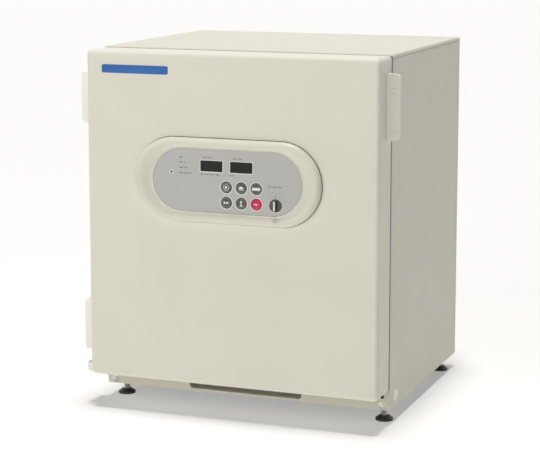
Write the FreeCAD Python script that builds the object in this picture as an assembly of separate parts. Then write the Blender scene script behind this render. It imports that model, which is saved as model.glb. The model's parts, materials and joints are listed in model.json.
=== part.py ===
import FreeCAD, Part
import math
import os

# Laboratory incubator: a bench-top cabinet with an insulated outer door, an inner glass door,
# a stainless chamber with shelves and a humidity pan, and a service housing on its back.
# Millimetres. +Z is up, +X is the handle side, -Y is the front. The origin is on the floor,
# under the middle of the whole object.

V = FreeCAD.Vector

# ---- overall sizes -------------------------------------------------------------------------
cabinet_width = 480.0
overall_height = 575.0
cabinet_depth = 391.0           # cabinet's front plane to the outside of its back panel
door_depth = 64.0               # door face to the cabinet's front plane, gasket included
rear_housing_depth = 73.0
spacer_depth = 8.0              # wall spacers behind the rear housing
panel_rise = 12.0               # front of the selector knob before the door face
side_overhang = 18.0            # handle and hinge covers beyond the cabinet's sides
foot_height = 24.0

# ---- sheet, walls and clearances -----------------------------------------------------------
sheet = 1.2                     # outer steel
chamber_sheet = 1.0             # stainless steel
plastic_wall = 2.0
seam = 0.6                      # visible seam between two outer sheets
running_clearance = 0.05        # radial, shafts and pins
slide_clearance = 0.3           # flat or round parts that slide past each other

# ---- cabinet -------------------------------------------------------------------------------
top_lip = 6.0
top_edge_radius = 3.0
back_flange = 9.0
rail_height = 48.0
bracket_width = 21.5
bracket_sheet = 2.0
bracket_foot_plate = 58.0
slot_width = 190.6
slot_bottom = 4.0               # above the cabinet's lower edge
slot_height = 20.0
slot_radius = 5.5
slot_depth = 12.0               # the slot is a finger pocket of this depth
frame_thickness = 3.0           # front frame around the chamber mouth
edge_return = 5.0               # side panels' rounded front fold
edge_radius = 3.0
motor_tube_radius = 9.0
flange_width = 14.0
base_void = 34.0                # service space under the insulation
base_edge = 8.0                 # upturned edge of the base pan
bracket_foot_width = 36.0
side_plug_radius = 10.0
side_plug_stem = 7.5
side_plug_back = 29.0           # behind the cabinet's front plane
side_plug_up = 18.7             # above the cabinet's lower edge
side_plug_dome = 1.8

# ---- screws --------------------------------------------------------------------------------
bolt_radius = 2.5
bolt_head_radius = 4.2
bolt_head = 2.6
washer_radius = 6.2
washer = 1.0
bracket_bolt_in = 12.0          # from the cabinet's side
bracket_bolt_up = 7.3           # above the cabinet's lower edge
bracket_hole = 3.0
bracket_hole_up = 14.0          # spare hole above the bolt
small_screw_radius = 1.5
small_head_radius = 2.6
small_head = 1.6
hinge_blank_screw = (30.0, 78.0)    # unused hinge hole: behind the front plane, above the lower edge
base_screw = (25.0, 6.5)            # holds the base pan, both sides
top_screw = (36.0, 85.0)            # in from the left side, and behind the front plane
rear_screw_margin = 30.0
rear_screw_count = 4

# ---- chamber -------------------------------------------------------------------------------
side_wall_depth = 65.0          # cabinet's side to the chamber
rear_wall_depth = 17.0
floor_depth = 86.0              # cabinet's lower edge to the chamber floor
ceiling_depth = 90.0
chamber_radius = 12.0
mouth_flange = 10.0
heater_thickness = 1.0
heater_margin = 30.0

# ---- outer door ----------------------------------------------------------------------------
door_up = 30.0                  # door's lower edge above the cabinet's
door_down = 1.0                 # door's upper edge below the cabinet's
door_shell_depth = 51.0
door_corner_radius = 8.0
door_edge_radius = 6.0
liner_depth = 8.8
liner_inset = 0.8
liner_wall = 1.5
recess_side = 22.0              # recess in from the cabinet's sides
recess_below = 20.0             # recess beyond the chamber floor and ceiling
recess_above = 27.0
recess_depth = 24.0             # from the cabinet's front plane to the bottom of the recess
gasket_width = 12.0
gasket_inset = 6.0              # gasket's outer edge from the cabinet's sides
gasket_up = 20.0                # gasket in from the door's lower and upper edges
gasket_down = 10.0
gasket_dart = 3.0               # width of the rib that holds the gasket in its groove
gasket_groove = 5.0

# ---- hinges --------------------------------------------------------------------------------
hinge_out = 8.0                 # hinge axis beyond the cabinet's side
hinge_front = 18.0              # hinge axis before the cabinet's front plane
lower_hinge_up = 77.0           # lower hinge above the door's lower edge
upper_hinge_down = 76.0         # upper hinge below the door's upper edge
cover_height = 83.0
knuckle_radius = 6.5
knuckle_gap = 0.5
hinge_pin_radius = 3.0
leaf_thickness = 3.0
cabinet_leaf_reach = 38.0       # behind the cabinet's front plane
door_leaf_reach = 20.0          # before the hinge axis
cover_wall = 1.8
pivot_plate_thickness = 2.5
pivot_arm_thickness = 4.0
pivot_cap_out = 14.0            # cap on the door's lower left corner
pivot_cap_height = 13.0
pivot_cap_depth = 24.0
pivot_radius = 8.0

# ---- handle --------------------------------------------------------------------------------
handle_height = 101.0
handle_down = 75.5              # grip's middle below the door's upper edge
handle_back = 35.0              # root of the grip behind the door face
handle_wall = 4.0
handle_corner_radius = 10.0

# ---- control panel -------------------------------------------------------------------------
panel_x = -2.5
panel_down = 195.5              # panel's middle below the door's upper edge
bezel_width = 306.0
bezel_band = 17.0               # bezel above and below the overlay
bezel_rise = 10.0
overlay_width = 244.0
overlay_margin = 7.7            # overlay beyond the lower buttons
overlay_rise = 5.0
overlay_thickness = 1.5
overlay_seat = 5.0              # ledge behind the overlay's rim
overlay_fit = 0.3
bezel_crest = 7.0               # rounding of the bezel's outer edge
tub_width = 236.0
tub_in = 5.0                    # tub lower than the overlay
tub_depth = 24.0
tub_flange = 7.0
board_back_gap = 9.0            # back of the control board behind the door face
board_thickness = 1.6
board_width = 222.0
board_in = 19.0                 # board lower than the overlay
board_post_in = 8.0
board_post_radius = 3.5
display_width = 36.4
display_height = 16.9
display_pitch = 49.0
display_up = 23.1
button_radius = 8.8
button_gap_x = 6.9              # between neighbouring buttons
button_gap_z = 6.1
button_flange = 1.4
button_first_x = 0.0            # from the panel's centre
button_first_z = -8.3
button_travel = 0.8
button_proud = 1.2
knob_x = 80.3
knob_z = -32.0
knob_radius = 10.0
knob_shaft_radius = 3.0
lamp_x = -91.2
lamp_z = 11.5
lamp_radius = 1.6

# ---- inner glass door ----------------------------------------------------------------------
glass_thickness = 5.0
glass_overlap = 14.0            # glass beyond the chamber mouth on each side
seal_thickness = 5.0
seal_width = 10.0
inner_hinge_gap = 11.0          # inner hinge axis beyond the glass edge
inner_knuckle_radius = 4.0
inner_pin_radius = 2.0
inner_hinge_height = 32.0
inner_hinge_from_end = 70.0
inner_knob_in = 16.0            # from the glass edge

# ---- inside the chamber --------------------------------------------------------------------
shelf_count = 3
shelf_pitch = 92.0
first_shelf = 76.0              # above the chamber floor
shelf_sheet = 1.2
shelf_lip = 9.0
shelf_gap = 5.0                 # shelf edge to the chamber wall
shelf_setback = 36.0            # front edge of a shelf behind the chamber mouth
shelf_travel = 34.0
shelf_slot_length = 34.0
shelf_slot_width = 12.0
shelf_slot_pitch_x = 52.0
shelf_slot_pitch_y = 55.0
shelf_slot_margin = 34.0
rail_ledge = 10.0
rail_sheet = 1.2
upright_width = 14.0
rack_front = 10.0               # racks behind the chamber mouth
rack_back = 6.0                 # racks and shelves before the duct cover
pan_height = 34.0
pan_wall = 1.0
pan_radius = 14.0
pan_rim = 5.0
pan_side = 20.0                 # pan in from the chamber walls
duct_depth = 30.0
duct_side = 70.0                # duct cover in from the chamber walls
duct_bottom = 14.0              # above the chamber floor
duct_down = 21.0                # below the chamber ceiling
duct_hole_radius = 5.0
duct_outlet = (32.0, 8.0)
duct_outlet_pitch = 44.0
fan_down = 135.0                # fan axis below the chamber ceiling
fan_blades = 12
impeller_radius = 48.0
impeller_width = 18.0
fan_shaft_radius = 4.0

# ---- rear housing --------------------------------------------------------------------------
housing_in = 40.0               # in from the cabinet's sides
housing_up = 38.0               # above the cabinet's lower edge
housing_down = 30.0             # below the cabinet's top
housing_radius = 6.0
housing_flange = 10.0
rear_pad = 25.0                 # insulation behind the back panel
motor_radius = 26.0
motor_length = 40.0
port_in = 35.0                  # access port in from the chamber wall
port_down = 75.0                # and below the chamber ceiling
port_bore = 15.0
port_wall = 3.0
service_back = 45.0             # gas nipples behind the cabinet's back
barb_radius = 3.0
barb_length = 14.0
inlet_in = 60.0                 # mains inlet and rocker in from the housing's side
inlet_up = 56.0                 # above the housing's lower edge
inlet_width = 52.0
inlet_height = 34.0
inlet_depth = 20.0
inlet_flange = 1.6
socket_size = (27.0, 19.0)
socket_depth = 16.0
blade_pitch = 7.0
rocker_up = 96.0
rocker_size = (30.0, 22.0)
rocker_tilt = 8.0
rocker_in = 2.0                 # rocker's pivot behind the housing's face
gas_up = (88.0, 56.0)           # nipples above the housing's lower edge
gas_nut_radius = 8.0
gas_nut = 4.0
gas_shank_radius = 5.0
gas_shank = 12.0
gas_bore = 1.4
valve_radius = 11.0
valve_length = 36.0
plug_length = 22.0
port_collar = 3.0
louvre_rows = 8
louvre_columns = 3
louvre_size = (46.0, 4.0)
louvre_pitch = (60.0, 11.0)
sensor_in = 47.0                # sensors in from the chamber wall
sensor_down = {"temperature": 75.0, "gas": 113.0}
sensor_radius = 4.0

# ---- feet ----------------------------------------------------------------------------------
foot_radius = 14.0
foot_disc = 8.0
foot_stem_radius = 5.0
foot_in = 18.0                  # foot centre in from the cabinet's side
foot_front = 32.0               # foot centre behind the cabinet's front plane
foot_rear = 35.0                # foot centre before the back panel
foot_nut_radius = 9.0
foot_nut_height = 8.0
foot_lock_nut = 6.0
foot_stem_top = 22.0            # stem's end above the cabinet's lower edge

# ---- places worked out from the sizes above ------------------------------------------------
half_width = cabinet_width / 2
total_depth = panel_rise + door_depth + cabinet_depth + rear_housing_depth + spacer_depth
front_y = -total_depth / 2
door_face = front_y + panel_rise
cabinet_front = door_face + door_depth
cabinet_back = cabinet_front + cabinet_depth
housing_back = cabinet_back + rear_housing_depth
cabinet_bottom = foot_height
rail_top = cabinet_bottom + rail_height
panel_seam_top = overall_height - top_lip
side_top = panel_seam_top - seam
base_top = cabinet_bottom + sheet
insulation_bottom = cabinet_bottom + base_void
chamber_half = half_width - side_wall_depth
chamber_width = 2 * chamber_half
chamber_depth = cabinet_depth - rear_wall_depth
chamber_floor = cabinet_bottom + floor_depth
chamber_top = overall_height - ceiling_depth
chamber_height = chamber_top - chamber_floor
chamber_back = cabinet_front + chamber_depth
chamber_middle = (chamber_floor + chamber_top) / 2
door_bottom = cabinet_bottom + door_up
door_top = overall_height - door_down
shell_back = door_face + door_shell_depth
liner_back = shell_back + liner_depth
recess_floor = cabinet_front - recess_depth
recess_shell = recess_floor - liner_wall
recess_half_width = half_width - recess_side
recess_bottom = chamber_floor - recess_below
recess_top = chamber_top + recess_above
gasket_bottom = door_bottom + gasket_up
gasket_top = door_top - gasket_down
door_height = door_top - door_bottom
door_middle = (door_top + door_bottom) / 2
hinge_x = -half_width - hinge_out
hinge_y = cabinet_front - hinge_front
hinge_heights = [door_bottom + lower_hinge_up, door_top - upper_hinge_down]
handle_centre = door_top - handle_down
panel_z = door_top - panel_down
button_pitch_x = 2 * button_radius + button_gap_x
button_pitch_z = 2 * button_radius + button_gap_z
overlay_height = 2 * (button_pitch_z - button_first_z + button_radius + overlay_margin)
bezel_height = overlay_height + 2 * bezel_band
tub_height = overlay_height - tub_in
board_height = overlay_height - board_in
board_back = door_face + board_back_gap
overlay_front = door_face - overlay_rise
overlay_back = overlay_front + overlay_thickness
glass_back = cabinet_front - chamber_sheet - seal_thickness
glass_front = glass_back - glass_thickness
glass_half = chamber_half + glass_overlap
glass_bottom = chamber_floor - glass_overlap
glass_top = chamber_top + glass_overlap
inner_hinge_x = -glass_half - inner_hinge_gap
inner_hinge_y = (glass_front + glass_back) / 2
inner_hinge_heights = [glass_bottom + inner_hinge_from_end, glass_top - inner_hinge_from_end]
duct_front = chamber_back - duct_depth
duct_width = chamber_width - 2 * duct_side
duct_height = chamber_height - duct_bottom - duct_down
shelf_half = chamber_half - shelf_gap
shelf_depth = duct_front - rack_back - (cabinet_front + shelf_setback)
fan_z = chamber_top - fan_down
port_x = port_in - chamber_half
port_z = chamber_top - port_down
sensor_x = chamber_half - sensor_in
housing_width = cabinet_width - 2 * housing_in
housing_bottom = cabinet_bottom + housing_up
housing_top = overall_height - housing_down
inlet_x = housing_width / 2 - inlet_in
inlet_z = housing_bottom + inlet_up
rocker_z = housing_bottom + rocker_up
rocker_pivot = housing_back - rocker_in
gas_heights = [housing_bottom + up for up in gas_up]
motor_front = cabinet_back + rear_pad + 1.0
service_y = cabinet_back + service_back
foot_places = {
    "front_left": (-half_width + foot_in, cabinet_front + foot_front),
    "front_right": (half_width - foot_in, cabinet_front + foot_front),
    "rear_left": (-half_width + foot_in, cabinet_back - foot_rear),
    "rear_right": (half_width - foot_in, cabinet_back - foot_rear),
}

PLANES = {"xz": (0, 2, 1), "xy": (0, 1, 2), "yz": (1, 2, 0)}


# ---- building blocks -----------------------------------------------------------------------
def box(x_span, y_span, z_span):
    """Block between two x, two y and two z values."""
    corner = V(min(x_span), min(y_span), min(z_span))
    size = [abs(span[1] - span[0]) for span in (x_span, y_span, z_span)]
    return Part.makeBox(size[0], size[1], size[2], corner)


def rod(radius, start, end):
    """Solid cylinder from one point to another."""
    axis = V(*end) - V(*start)
    return Part.makeCylinder(radius, axis.Length, V(*start), axis)


def tube(outer, inner, start, end):
    """Hollow cylinder from one point to another."""
    return rod(outer, start, end).cut(rod(inner, start, end))


def fuse(*shapes):
    """One clean solid from shapes that touch or overlap."""
    return shapes[0].multiFuse(list(shapes[1:])).removeSplitter()


def at(plane, a, b, c):
    """Point with in-plane coordinates a and b and level c along the plane's normal."""
    place = [0.0, 0.0, 0.0]
    for axis, value in zip(PLANES[plane], (a, b, c)):
        place[axis] = value
    return V(*place)


def outline(plane, centre, size, radius, level):
    """Wire of a rectangle whose corners are rounded."""
    half = [size[0] / 2, size[1] / 2]
    radius = min(radius, half[0], half[1])
    edges = []
    ends = []
    for quarter in range(4):
        middle_angle = math.radians(45 + 90 * quarter)
        side_a = math.copysign(half[0] - radius, math.cos(middle_angle))
        side_b = math.copysign(half[1] - radius, math.sin(middle_angle))
        points = []
        for step in range(3):
            angle = math.radians(90 * quarter + 45 * step)
            a = centre[0] + side_a + radius * math.cos(angle)
            b = centre[1] + side_b + radius * math.sin(angle)
            points.append(at(plane, a, b, level))
        edges.append(Part.Arc(points[0], points[1], points[2]).toShape())
        ends.append((points[0], points[2]))
    for quarter in range(4):
        leaving = ends[quarter][1]
        arriving = ends[(quarter + 1) % 4][0]
        if leaving.distanceToPoint(arriving) > 0.001:
            edges.append(Part.makeLine(leaving, arriving))
    return Part.Wire(Part.__sortEdges__(edges))


def slab(plane, centre, size, radius, span):
    """Rounded rectangle in a plane, made solid between two levels along the plane's normal."""
    face = Part.Face(outline(plane, centre, size, radius, min(span)))
    return face.extrude(at(plane, 0, 0, abs(span[1] - span[0])))


def framed(plane, centre, size, radius, width, span):
    """Rounded rectangular ring of the given width."""
    inner_size = (size[0] - 2 * width, size[1] - 2 * width)
    outer = slab(plane, centre, size, radius, span)
    return outer.cut(slab(plane, centre, inner_size, max(radius - width, 0.5), span))


def profile(plane, points, span):
    """Polygon in a plane, made solid between two levels along the plane's normal."""
    corners = [at(plane, a, b, min(span)) for a, b in points]
    face = Part.Face(Part.makePolygon(corners + corners[:1]))
    return face.extrude(at(plane, 0, 0, abs(span[1] - span[0])))


def rounded(shape, radius, wanted):
    """Shape with the edges for which wanted(edge) holds rounded."""
    return shape.makeFillet(radius, [edge for edge in shape.Edges if wanted(edge)])


def lies_on(axis, level):
    """Test for edges whose every vertex has one coordinate at a level."""
    return lambda edge: all(abs(vertex.Point[axis] - level) < 0.01 for vertex in edge.Vertexes)


def runs_along(axis):
    """Test for straight edges parallel to an axis."""
    def test(edge):
        box_sizes = [edge.BoundBox.XLength, edge.BoundBox.YLength, edge.BoundBox.ZLength]
        return all(size < 0.01 for i, size in enumerate(box_sizes) if i != axis)
    return test


def both(first, second):
    """Test that needs two other tests to hold."""
    return lambda edge: first(edge) and second(edge)


def mirrored(shape):
    """Copy on the other side of the middle plane."""
    return shape.mirror(V(0, 0, 0), V(1, 0, 0))


def save(name, *solids):
    """Write one node's solids to its file."""
    shape = solids[0] if len(solids) == 1 else Part.makeCompound(list(solids))
    if not shape.isValid() or shape.Volume <= 0:
        raise ValueError(name + " is not a sound solid")
    shape.exportStep("parts/" + name + ".step")
    print(name, len(shape.Solids), "solid(s),", round(shape.Volume / 1000, 2), "cm3")


# ---- cabinet shell -------------------------------------------------------------------------
def side_panel():
    """Right side: a sheet with returns at its front, top and rear, notched for the bracket."""
    inner = half_width - sheet
    rear = cabinet_back - back_flange - seam
    fold = half_width - edge_return
    skin = box((fold, half_width), (cabinet_front, rear), (cabinet_bottom, side_top))
    skin = rounded(skin, edge_radius, front_corner(half_width, cabinet_front))
    hollow = box((fold - 1, inner), (cabinet_front + sheet, rear + 1), (cabinet_bottom - 1, side_top + 1))
    skin = skin.cut(rounded(hollow, edge_radius - sheet, front_corner(inner, cabinet_front + sheet)))
    behind_frame = cabinet_front + frame_thickness
    front_return = box((half_width - flange_width, inner), (behind_frame, behind_frame + sheet),
                       (insulation_bottom, side_top))
    rear_return = box((half_width - flange_width, inner), (rear - sheet, rear),
                      (base_top + flange_width, side_top))
    top_return = box((half_width - flange_width, inner), (behind_frame, rear),
                     (side_top - sheet, side_top))
    panel = fuse(skin, front_return, rear_return, top_return)
    bracket_space = box((fold - 1, half_width + 1), (cabinet_front - 1, cabinet_front + bracket_sheet),
                        (cabinet_bottom - 1, rail_top))
    return panel.cut(bracket_space).cut(side_plug_hole())


def front_corner(x, y):
    """Test for the upright edge at one x and y."""
    return both(lies_on(0, x), lies_on(1, y))


def side_plug_hole():
    """Round hole that takes the pivot arm's bush, or the blanking plug on the unused side."""
    y, z = side_plug_place()
    return rod(side_plug_stem, (half_width - 2 * sheet, y, z), (half_width + sheet, y, z))


def side_plug_place():
    """Centre of the blanking plug in y and z."""
    return cabinet_front + side_plug_back, cabinet_bottom + side_plug_up


def side_plug():
    """Blanking plug: a low dome with a stem pressed into the right side panel."""
    y, z = side_plug_place()
    dome = rod(side_plug_radius, (half_width, y, z), (half_width + side_plug_dome, y, z))
    dome = rounded(dome, side_plug_dome * 0.6, lies_on(0, half_width + side_plug_dome))
    stem = rod(side_plug_stem, (half_width - 3, y, z), (half_width, y, z))
    return fuse(dome, stem)


def top_panel():
    """Lid of the cabinet: a shallow tray, open below, with soft upper edges."""
    outer = box((-half_width, half_width), (cabinet_front, cabinet_back),
                (panel_seam_top, overall_height))
    outer = rounded(outer, top_edge_radius, lies_on(2, overall_height))
    inner = box((-half_width + sheet, half_width - sheet), (cabinet_front + sheet, cabinet_back - sheet),
                (panel_seam_top - 1, overall_height - sheet))
    inner = rounded(inner, top_edge_radius - sheet, lies_on(2, overall_height - sheet))
    tray = outer.cut(inner)
    lip = framed("xy", (0, (cabinet_front + cabinet_back) / 2),
                 (cabinet_width - sheet, cabinet_depth - sheet), 0.5, flange_width,
                 (panel_seam_top, panel_seam_top + sheet))
    front_lip = box((-half_width + sheet, half_width - sheet), (cabinet_front, cabinet_front + sheet),
                    (side_top, panel_seam_top + sheet))
    return fuse(tray, lip, front_lip)


def back_panel():
    """Rear of the cabinet: a tray whose lips wrap round the sides."""
    height = panel_seam_top - cabinet_bottom
    centre = (0, cabinet_bottom + height / 2)
    plate = slab("xz", centre, (cabinet_width, height), 0.5, (cabinet_back - sheet, cabinet_back))
    lips = framed("xz", centre, (cabinet_width, height), 0.5, sheet,
                  (cabinet_back - back_flange, cabinet_back - sheet))
    panel = fuse(plate, lips)
    for hole in rear_holes(cabinet_back - sheet - 1, cabinet_back + 1):
        panel = panel.cut(hole)
    return panel


def rear_holes(start, end):
    """What passes through the cabinet's back: fan shaft tube, access port and sensor stems."""
    holes = [rod(motor_tube_radius, (0, start, fan_z), (0, end, fan_z))]
    holes.append(rod(port_bore + port_wall, (port_x, start, port_z), (port_x, end, port_z)))
    for down in sensor_down.values():
        z = chamber_top - down
        holes.append(rod(sensor_radius, (sensor_x, start, z), (sensor_x, end, z)))
    return holes


def base_pan():
    """Floor of the cabinet: a tray with upturned edges and holes for the feet."""
    inner = half_width - sheet
    y_span = (cabinet_front + bracket_sheet, cabinet_back - back_flange)
    plate = box((-inner, inner), y_span, (cabinet_bottom, base_top))
    middle_y = sum(y_span) / 2
    depth = y_span[1] - y_span[0]
    edges = framed("xy", (0, middle_y), (2 * inner, depth), 0.5, sheet,
                   (base_top, base_top + base_edge))
    slot_room = box((-slot_width / 2 - flange_width, slot_width / 2 + flange_width),
                    (cabinet_front, cabinet_front + slot_depth), (base_top, base_top + base_edge))
    pan = fuse(plate, edges).cut(slot_room)
    bracket_plates = [box((sign * (half_width - bracket_foot_width), sign * inner),
                          (cabinet_front, cabinet_front + bracket_foot_plate),
                          (cabinet_bottom - 1, base_top + bracket_sheet)) for sign in (-1, 1)]
    pan = pan.cut(bracket_plates[0]).cut(bracket_plates[1])
    for place in ("rear_left", "rear_right"):
        x, y = foot_places[place]
        nut = rod(foot_nut_radius, (x, y, base_top), (x, y, base_top + foot_nut_height))
        pan = fuse(pan, nut)
        pan = pan.cut(foot_hole(x, y))
    return pan


def foot_hole(x, y):
    """Hole that guides a foot's stem."""
    return rod(foot_stem_radius + running_clearance, (x, y, cabinet_bottom - 1),
               (x, y, cabinet_bottom + base_void))


def front_rail():
    """Strip under the door with the long finger pocket, and its return along the top."""
    inner = half_width - bracket_width
    face = box((-inner, inner), (cabinet_front, cabinet_front + sheet), (cabinet_bottom, rail_top - seam))
    behind = (cabinet_front + sheet, cabinet_front + bracket_sheet)
    lower = box((-inner, inner), behind, (cabinet_bottom, cabinet_bottom + slot_bottom - 1))
    middle_z = cabinet_bottom + slot_bottom + slot_height / 2
    slot = slab("xz", (0, middle_z), (slot_width, slot_height), slot_radius,
                (cabinet_front - 1, cabinet_front + slot_depth))
    pocket_size = (slot_width + 2 * sheet, slot_height + 2 * sheet)
    pocket = slab("xz", (0, middle_z), pocket_size, slot_radius + sheet,
                  (cabinet_front + sheet, cabinet_front + slot_depth + sheet))
    top_return = box((-inner, inner), (cabinet_front, cabinet_front + frame_thickness + sheet),
                     (rail_top - seam - sheet, rail_top - seam))
    return fuse(face, lower, pocket, top_return).cut(slot)


def corner_bracket():
    """Right corner bracket: a front plate and the plate that carries the front foot."""
    inner = half_width - bracket_width
    plate = box((inner, half_width), (cabinet_front, cabinet_front + bracket_sheet),
                (cabinet_bottom, rail_top - seam))
    x, y = foot_places["front_right"]
    carrier = box((half_width - bracket_foot_width, half_width - sheet),
                  (cabinet_front + bracket_sheet, cabinet_front + bracket_foot_plate),
                  (cabinet_bottom, cabinet_bottom + bracket_sheet))
    nut = rod(foot_nut_radius, (x, y, cabinet_bottom + bracket_sheet),
              (x, y, cabinet_bottom + bracket_sheet + foot_nut_height))
    bracket = fuse(plate, carrier, nut)
    bolt_x, bolt_z = bracket_bolt_place()
    bolt_hole = rod(bolt_radius, (bolt_x, cabinet_front - 1, bolt_z), (bolt_x, cabinet_front + 5, bolt_z))
    spare_hole = rod(bracket_hole, (bolt_x, cabinet_front - 1, bolt_z + bracket_hole_up),
                     (bolt_x, cabinet_front + 5, bolt_z + bracket_hole_up))
    return bracket.cut(foot_hole(x, y)).cut(bolt_hole).cut(spare_hole)


def bracket_bolt_place():
    """Centre of the right bracket's bolt in x and z."""
    return half_width - bracket_bolt_in, cabinet_bottom + bracket_bolt_up


def bolt(start, direction):
    """Screw with a washer: head outside the start point, shank going in along the direction."""
    inward = V(*direction)
    place = V(*start)
    ring = Part.makeCylinder(washer_radius, washer, place, inward * -1)
    head_start = place - inward * washer
    head = Part.makeCylinder(bolt_head_radius, bolt_head, head_start, inward * -1)
    socket = Part.makeCylinder(bolt_radius * 0.6, bolt_head, head_start - inward * (bolt_head * 0.4),
                               inward * -1)
    shank = Part.makeCylinder(bolt_radius, 3 * sheet + washer, head_start, inward)
    return fuse(shank, ring, head).cut(socket)


def cabinet_screws():
    """Screws that show on the cabinet: brackets, sides, top and the rear housing's flanges."""
    bolt_x, bolt_z = bracket_bolt_place()
    screws = []
    for sign in (-1, 1):
        screws.append(bolt((sign * bolt_x, cabinet_front, bolt_z), (0, 1, 0)))
    for sign, y, z in side_screw_places():
        screws.append(small_screw((sign * half_width, y, z), (-sign, 0, 0)))
    screws.append(top_screw_body())
    for sign in (-1, 1):
        for z in rear_screw_heights():
            place = (sign * (housing_width / 2 + housing_flange / 2), cabinet_back + sheet, z)
            screws.append(small_screw(place, (0, -1, 0)))
    return screws


def top_screw_body():
    """Countersunk screw level with the top panel."""
    x, y = top_screw[0] - half_width, cabinet_front + top_screw[1]
    head = Part.makeCone(small_screw_radius, small_head_radius, sheet, V(x, y, overall_height - sheet))
    return fuse(head, rod(small_screw_radius, (x, y, overall_height - 3 * sheet), (x, y, overall_height)))


def rear_screw_heights():
    """Heights of the screws that hold the rear housing's flanges."""
    low = housing_bottom + rear_screw_margin
    step = (housing_top - housing_bottom - 2 * rear_screw_margin) / (rear_screw_count - 1)
    return [low + step * index for index in range(rear_screw_count)]


def side_screw_places():
    """Side, y and z of each small screw on the cabinet's sides."""
    places = [(1,) + hinge_blank_screw, (-1,) + base_screw, (1,) + base_screw]
    return [(sign, cabinet_front + back, cabinet_bottom + up) for sign, back, up in places]


def small_screw(start, direction):
    """Small domed screw: head outside the start point, shank going in along the direction."""
    inward = V(*direction)
    head = Part.makeCylinder(small_head_radius, small_head, V(*start), inward * -1)
    rim = [edge for edge in head.Edges if len(edge.Vertexes) == 1
           and (edge.CenterOfMass - V(*start)).Length > small_head * 0.5]
    head = head.makeFillet(small_head * 0.6, rim)
    shank = Part.makeCylinder(small_screw_radius, 3 * sheet, V(*start), inward)
    return fuse(head, shank)


def screw_holes(shape):
    """Shape with a hole for every small and large screw shank."""
    for sign, y, z in side_screw_places():
        shape = shape.cut(rod(small_screw_radius, (sign * (half_width - 6), y, z),
                              (sign * (half_width + 1), y, z)))
    for sign in (-1, 1):
        for z in rear_screw_heights():
            x = sign * (housing_width / 2 + housing_flange / 2)
            shape = shape.cut(rod(small_screw_radius, (x, cabinet_back - 6, z), (x, cabinet_back + 3, z)))
    shape = shape.cut(top_screw_body())
    bolt_x, bolt_z = bracket_bolt_place()
    for sign in (-1, 1):
        shape = shape.cut(rod(bolt_radius, (sign * bolt_x, cabinet_front - 1, bolt_z),
                              (sign * bolt_x, cabinet_front + 6, bolt_z)))
    return shape


def front_frame():
    """Frame that closes the insulation round the chamber mouth and faces the door gasket."""
    outer_half = half_width - edge_return
    height = side_top - rail_top
    frame = slab("xz", (0, rail_top + height / 2), (2 * outer_half, height), 0.5,
                 (cabinet_front, cabinet_front + frame_thickness))
    return frame.cut(chamber_block(0.0, (cabinet_front - 1, cabinet_front + 20)))


def chamber_block(extra, y_span):
    """The chamber's outer form, grown by an amount."""
    grow = 2 * (chamber_sheet + extra)
    return slab("xz", (0, chamber_middle), (chamber_width + grow, chamber_height + grow),
                chamber_radius + chamber_sheet + extra, y_span)


def inner_chamber():
    """Stainless chamber with rounded corners and a flange round its mouth."""
    outer = chamber_block(0.0, (cabinet_front - chamber_sheet, chamber_back + chamber_sheet))
    flange = chamber_block(mouth_flange, (cabinet_front - chamber_sheet, cabinet_front))
    cavity = chamber_block(-chamber_sheet, (cabinet_front - 2 * chamber_sheet, chamber_back))
    chamber = fuse(outer, flange).cut(cavity)
    for hole in rear_holes(chamber_back - 1, chamber_back + 3):
        chamber = chamber.cut(hole)
    return chamber


def chamber_heaters():
    """Foil heaters bonded to the outside of the chamber's sides, floor and ceiling."""
    y_span = (cabinet_front + heater_margin, chamber_back - heater_margin)
    side = chamber_half + chamber_sheet
    z_span = (chamber_floor + heater_margin, chamber_top - heater_margin)
    wall = box((side, side + heater_thickness), y_span, z_span)
    x_span = (-chamber_half + heater_margin, chamber_half - heater_margin)
    below = chamber_floor - chamber_sheet
    above = chamber_top + chamber_sheet
    floor = box(x_span, y_span, (below - heater_thickness, below))
    ceiling = box(x_span, y_span, (above, above + heater_thickness))
    return [wall, mirrored(wall), floor, ceiling]


def insulation():
    """Foam between the chamber and the shell, and the pad behind the back panel."""
    inner = half_width - sheet
    start = cabinet_front + frame_thickness + sheet
    end = cabinet_back - back_flange - seam - sheet
    jacket = box((-inner, inner), (start, end), (insulation_bottom, side_top - sheet))
    jacket = jacket.cut(chamber_block(0.0, (start - 1, chamber_back + chamber_sheet)))
    for heater in chamber_heaters():
        jacket = jacket.cut(heater)
    collar = chamber_block(6.0, (cabinet_front + frame_thickness, start))
    jacket = fuse(jacket, collar.cut(chamber_block(0.0, (cabinet_front, start + 1))))
    pad_height = housing_top - housing_bottom - 2 * plastic_wall - 60
    pad = slab("xz", (0, (housing_top + housing_bottom) / 2 + 26),
               (housing_width - 4 * plastic_wall, pad_height), 4.0, (cabinet_back, cabinet_back + rear_pad))
    rear_fill = box((-inner + flange_width, inner - flange_width), (end, cabinet_back - sheet),
                    (insulation_bottom, side_top - flange_width))
    jacket = fuse(jacket, rear_fill)
    for hole in rear_holes(chamber_back - 1, cabinet_back + rear_pad + 1):
        jacket = jacket.cut(hole)
        pad = pad.cut(hole)
    return [jacket, pad]


# ---- inside the chamber --------------------------------------------------------------------
def shelf_heights():
    """Underside of each shelf."""
    return [chamber_floor + first_shelf + shelf_pitch * step for step in range(shelf_count)]


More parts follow.
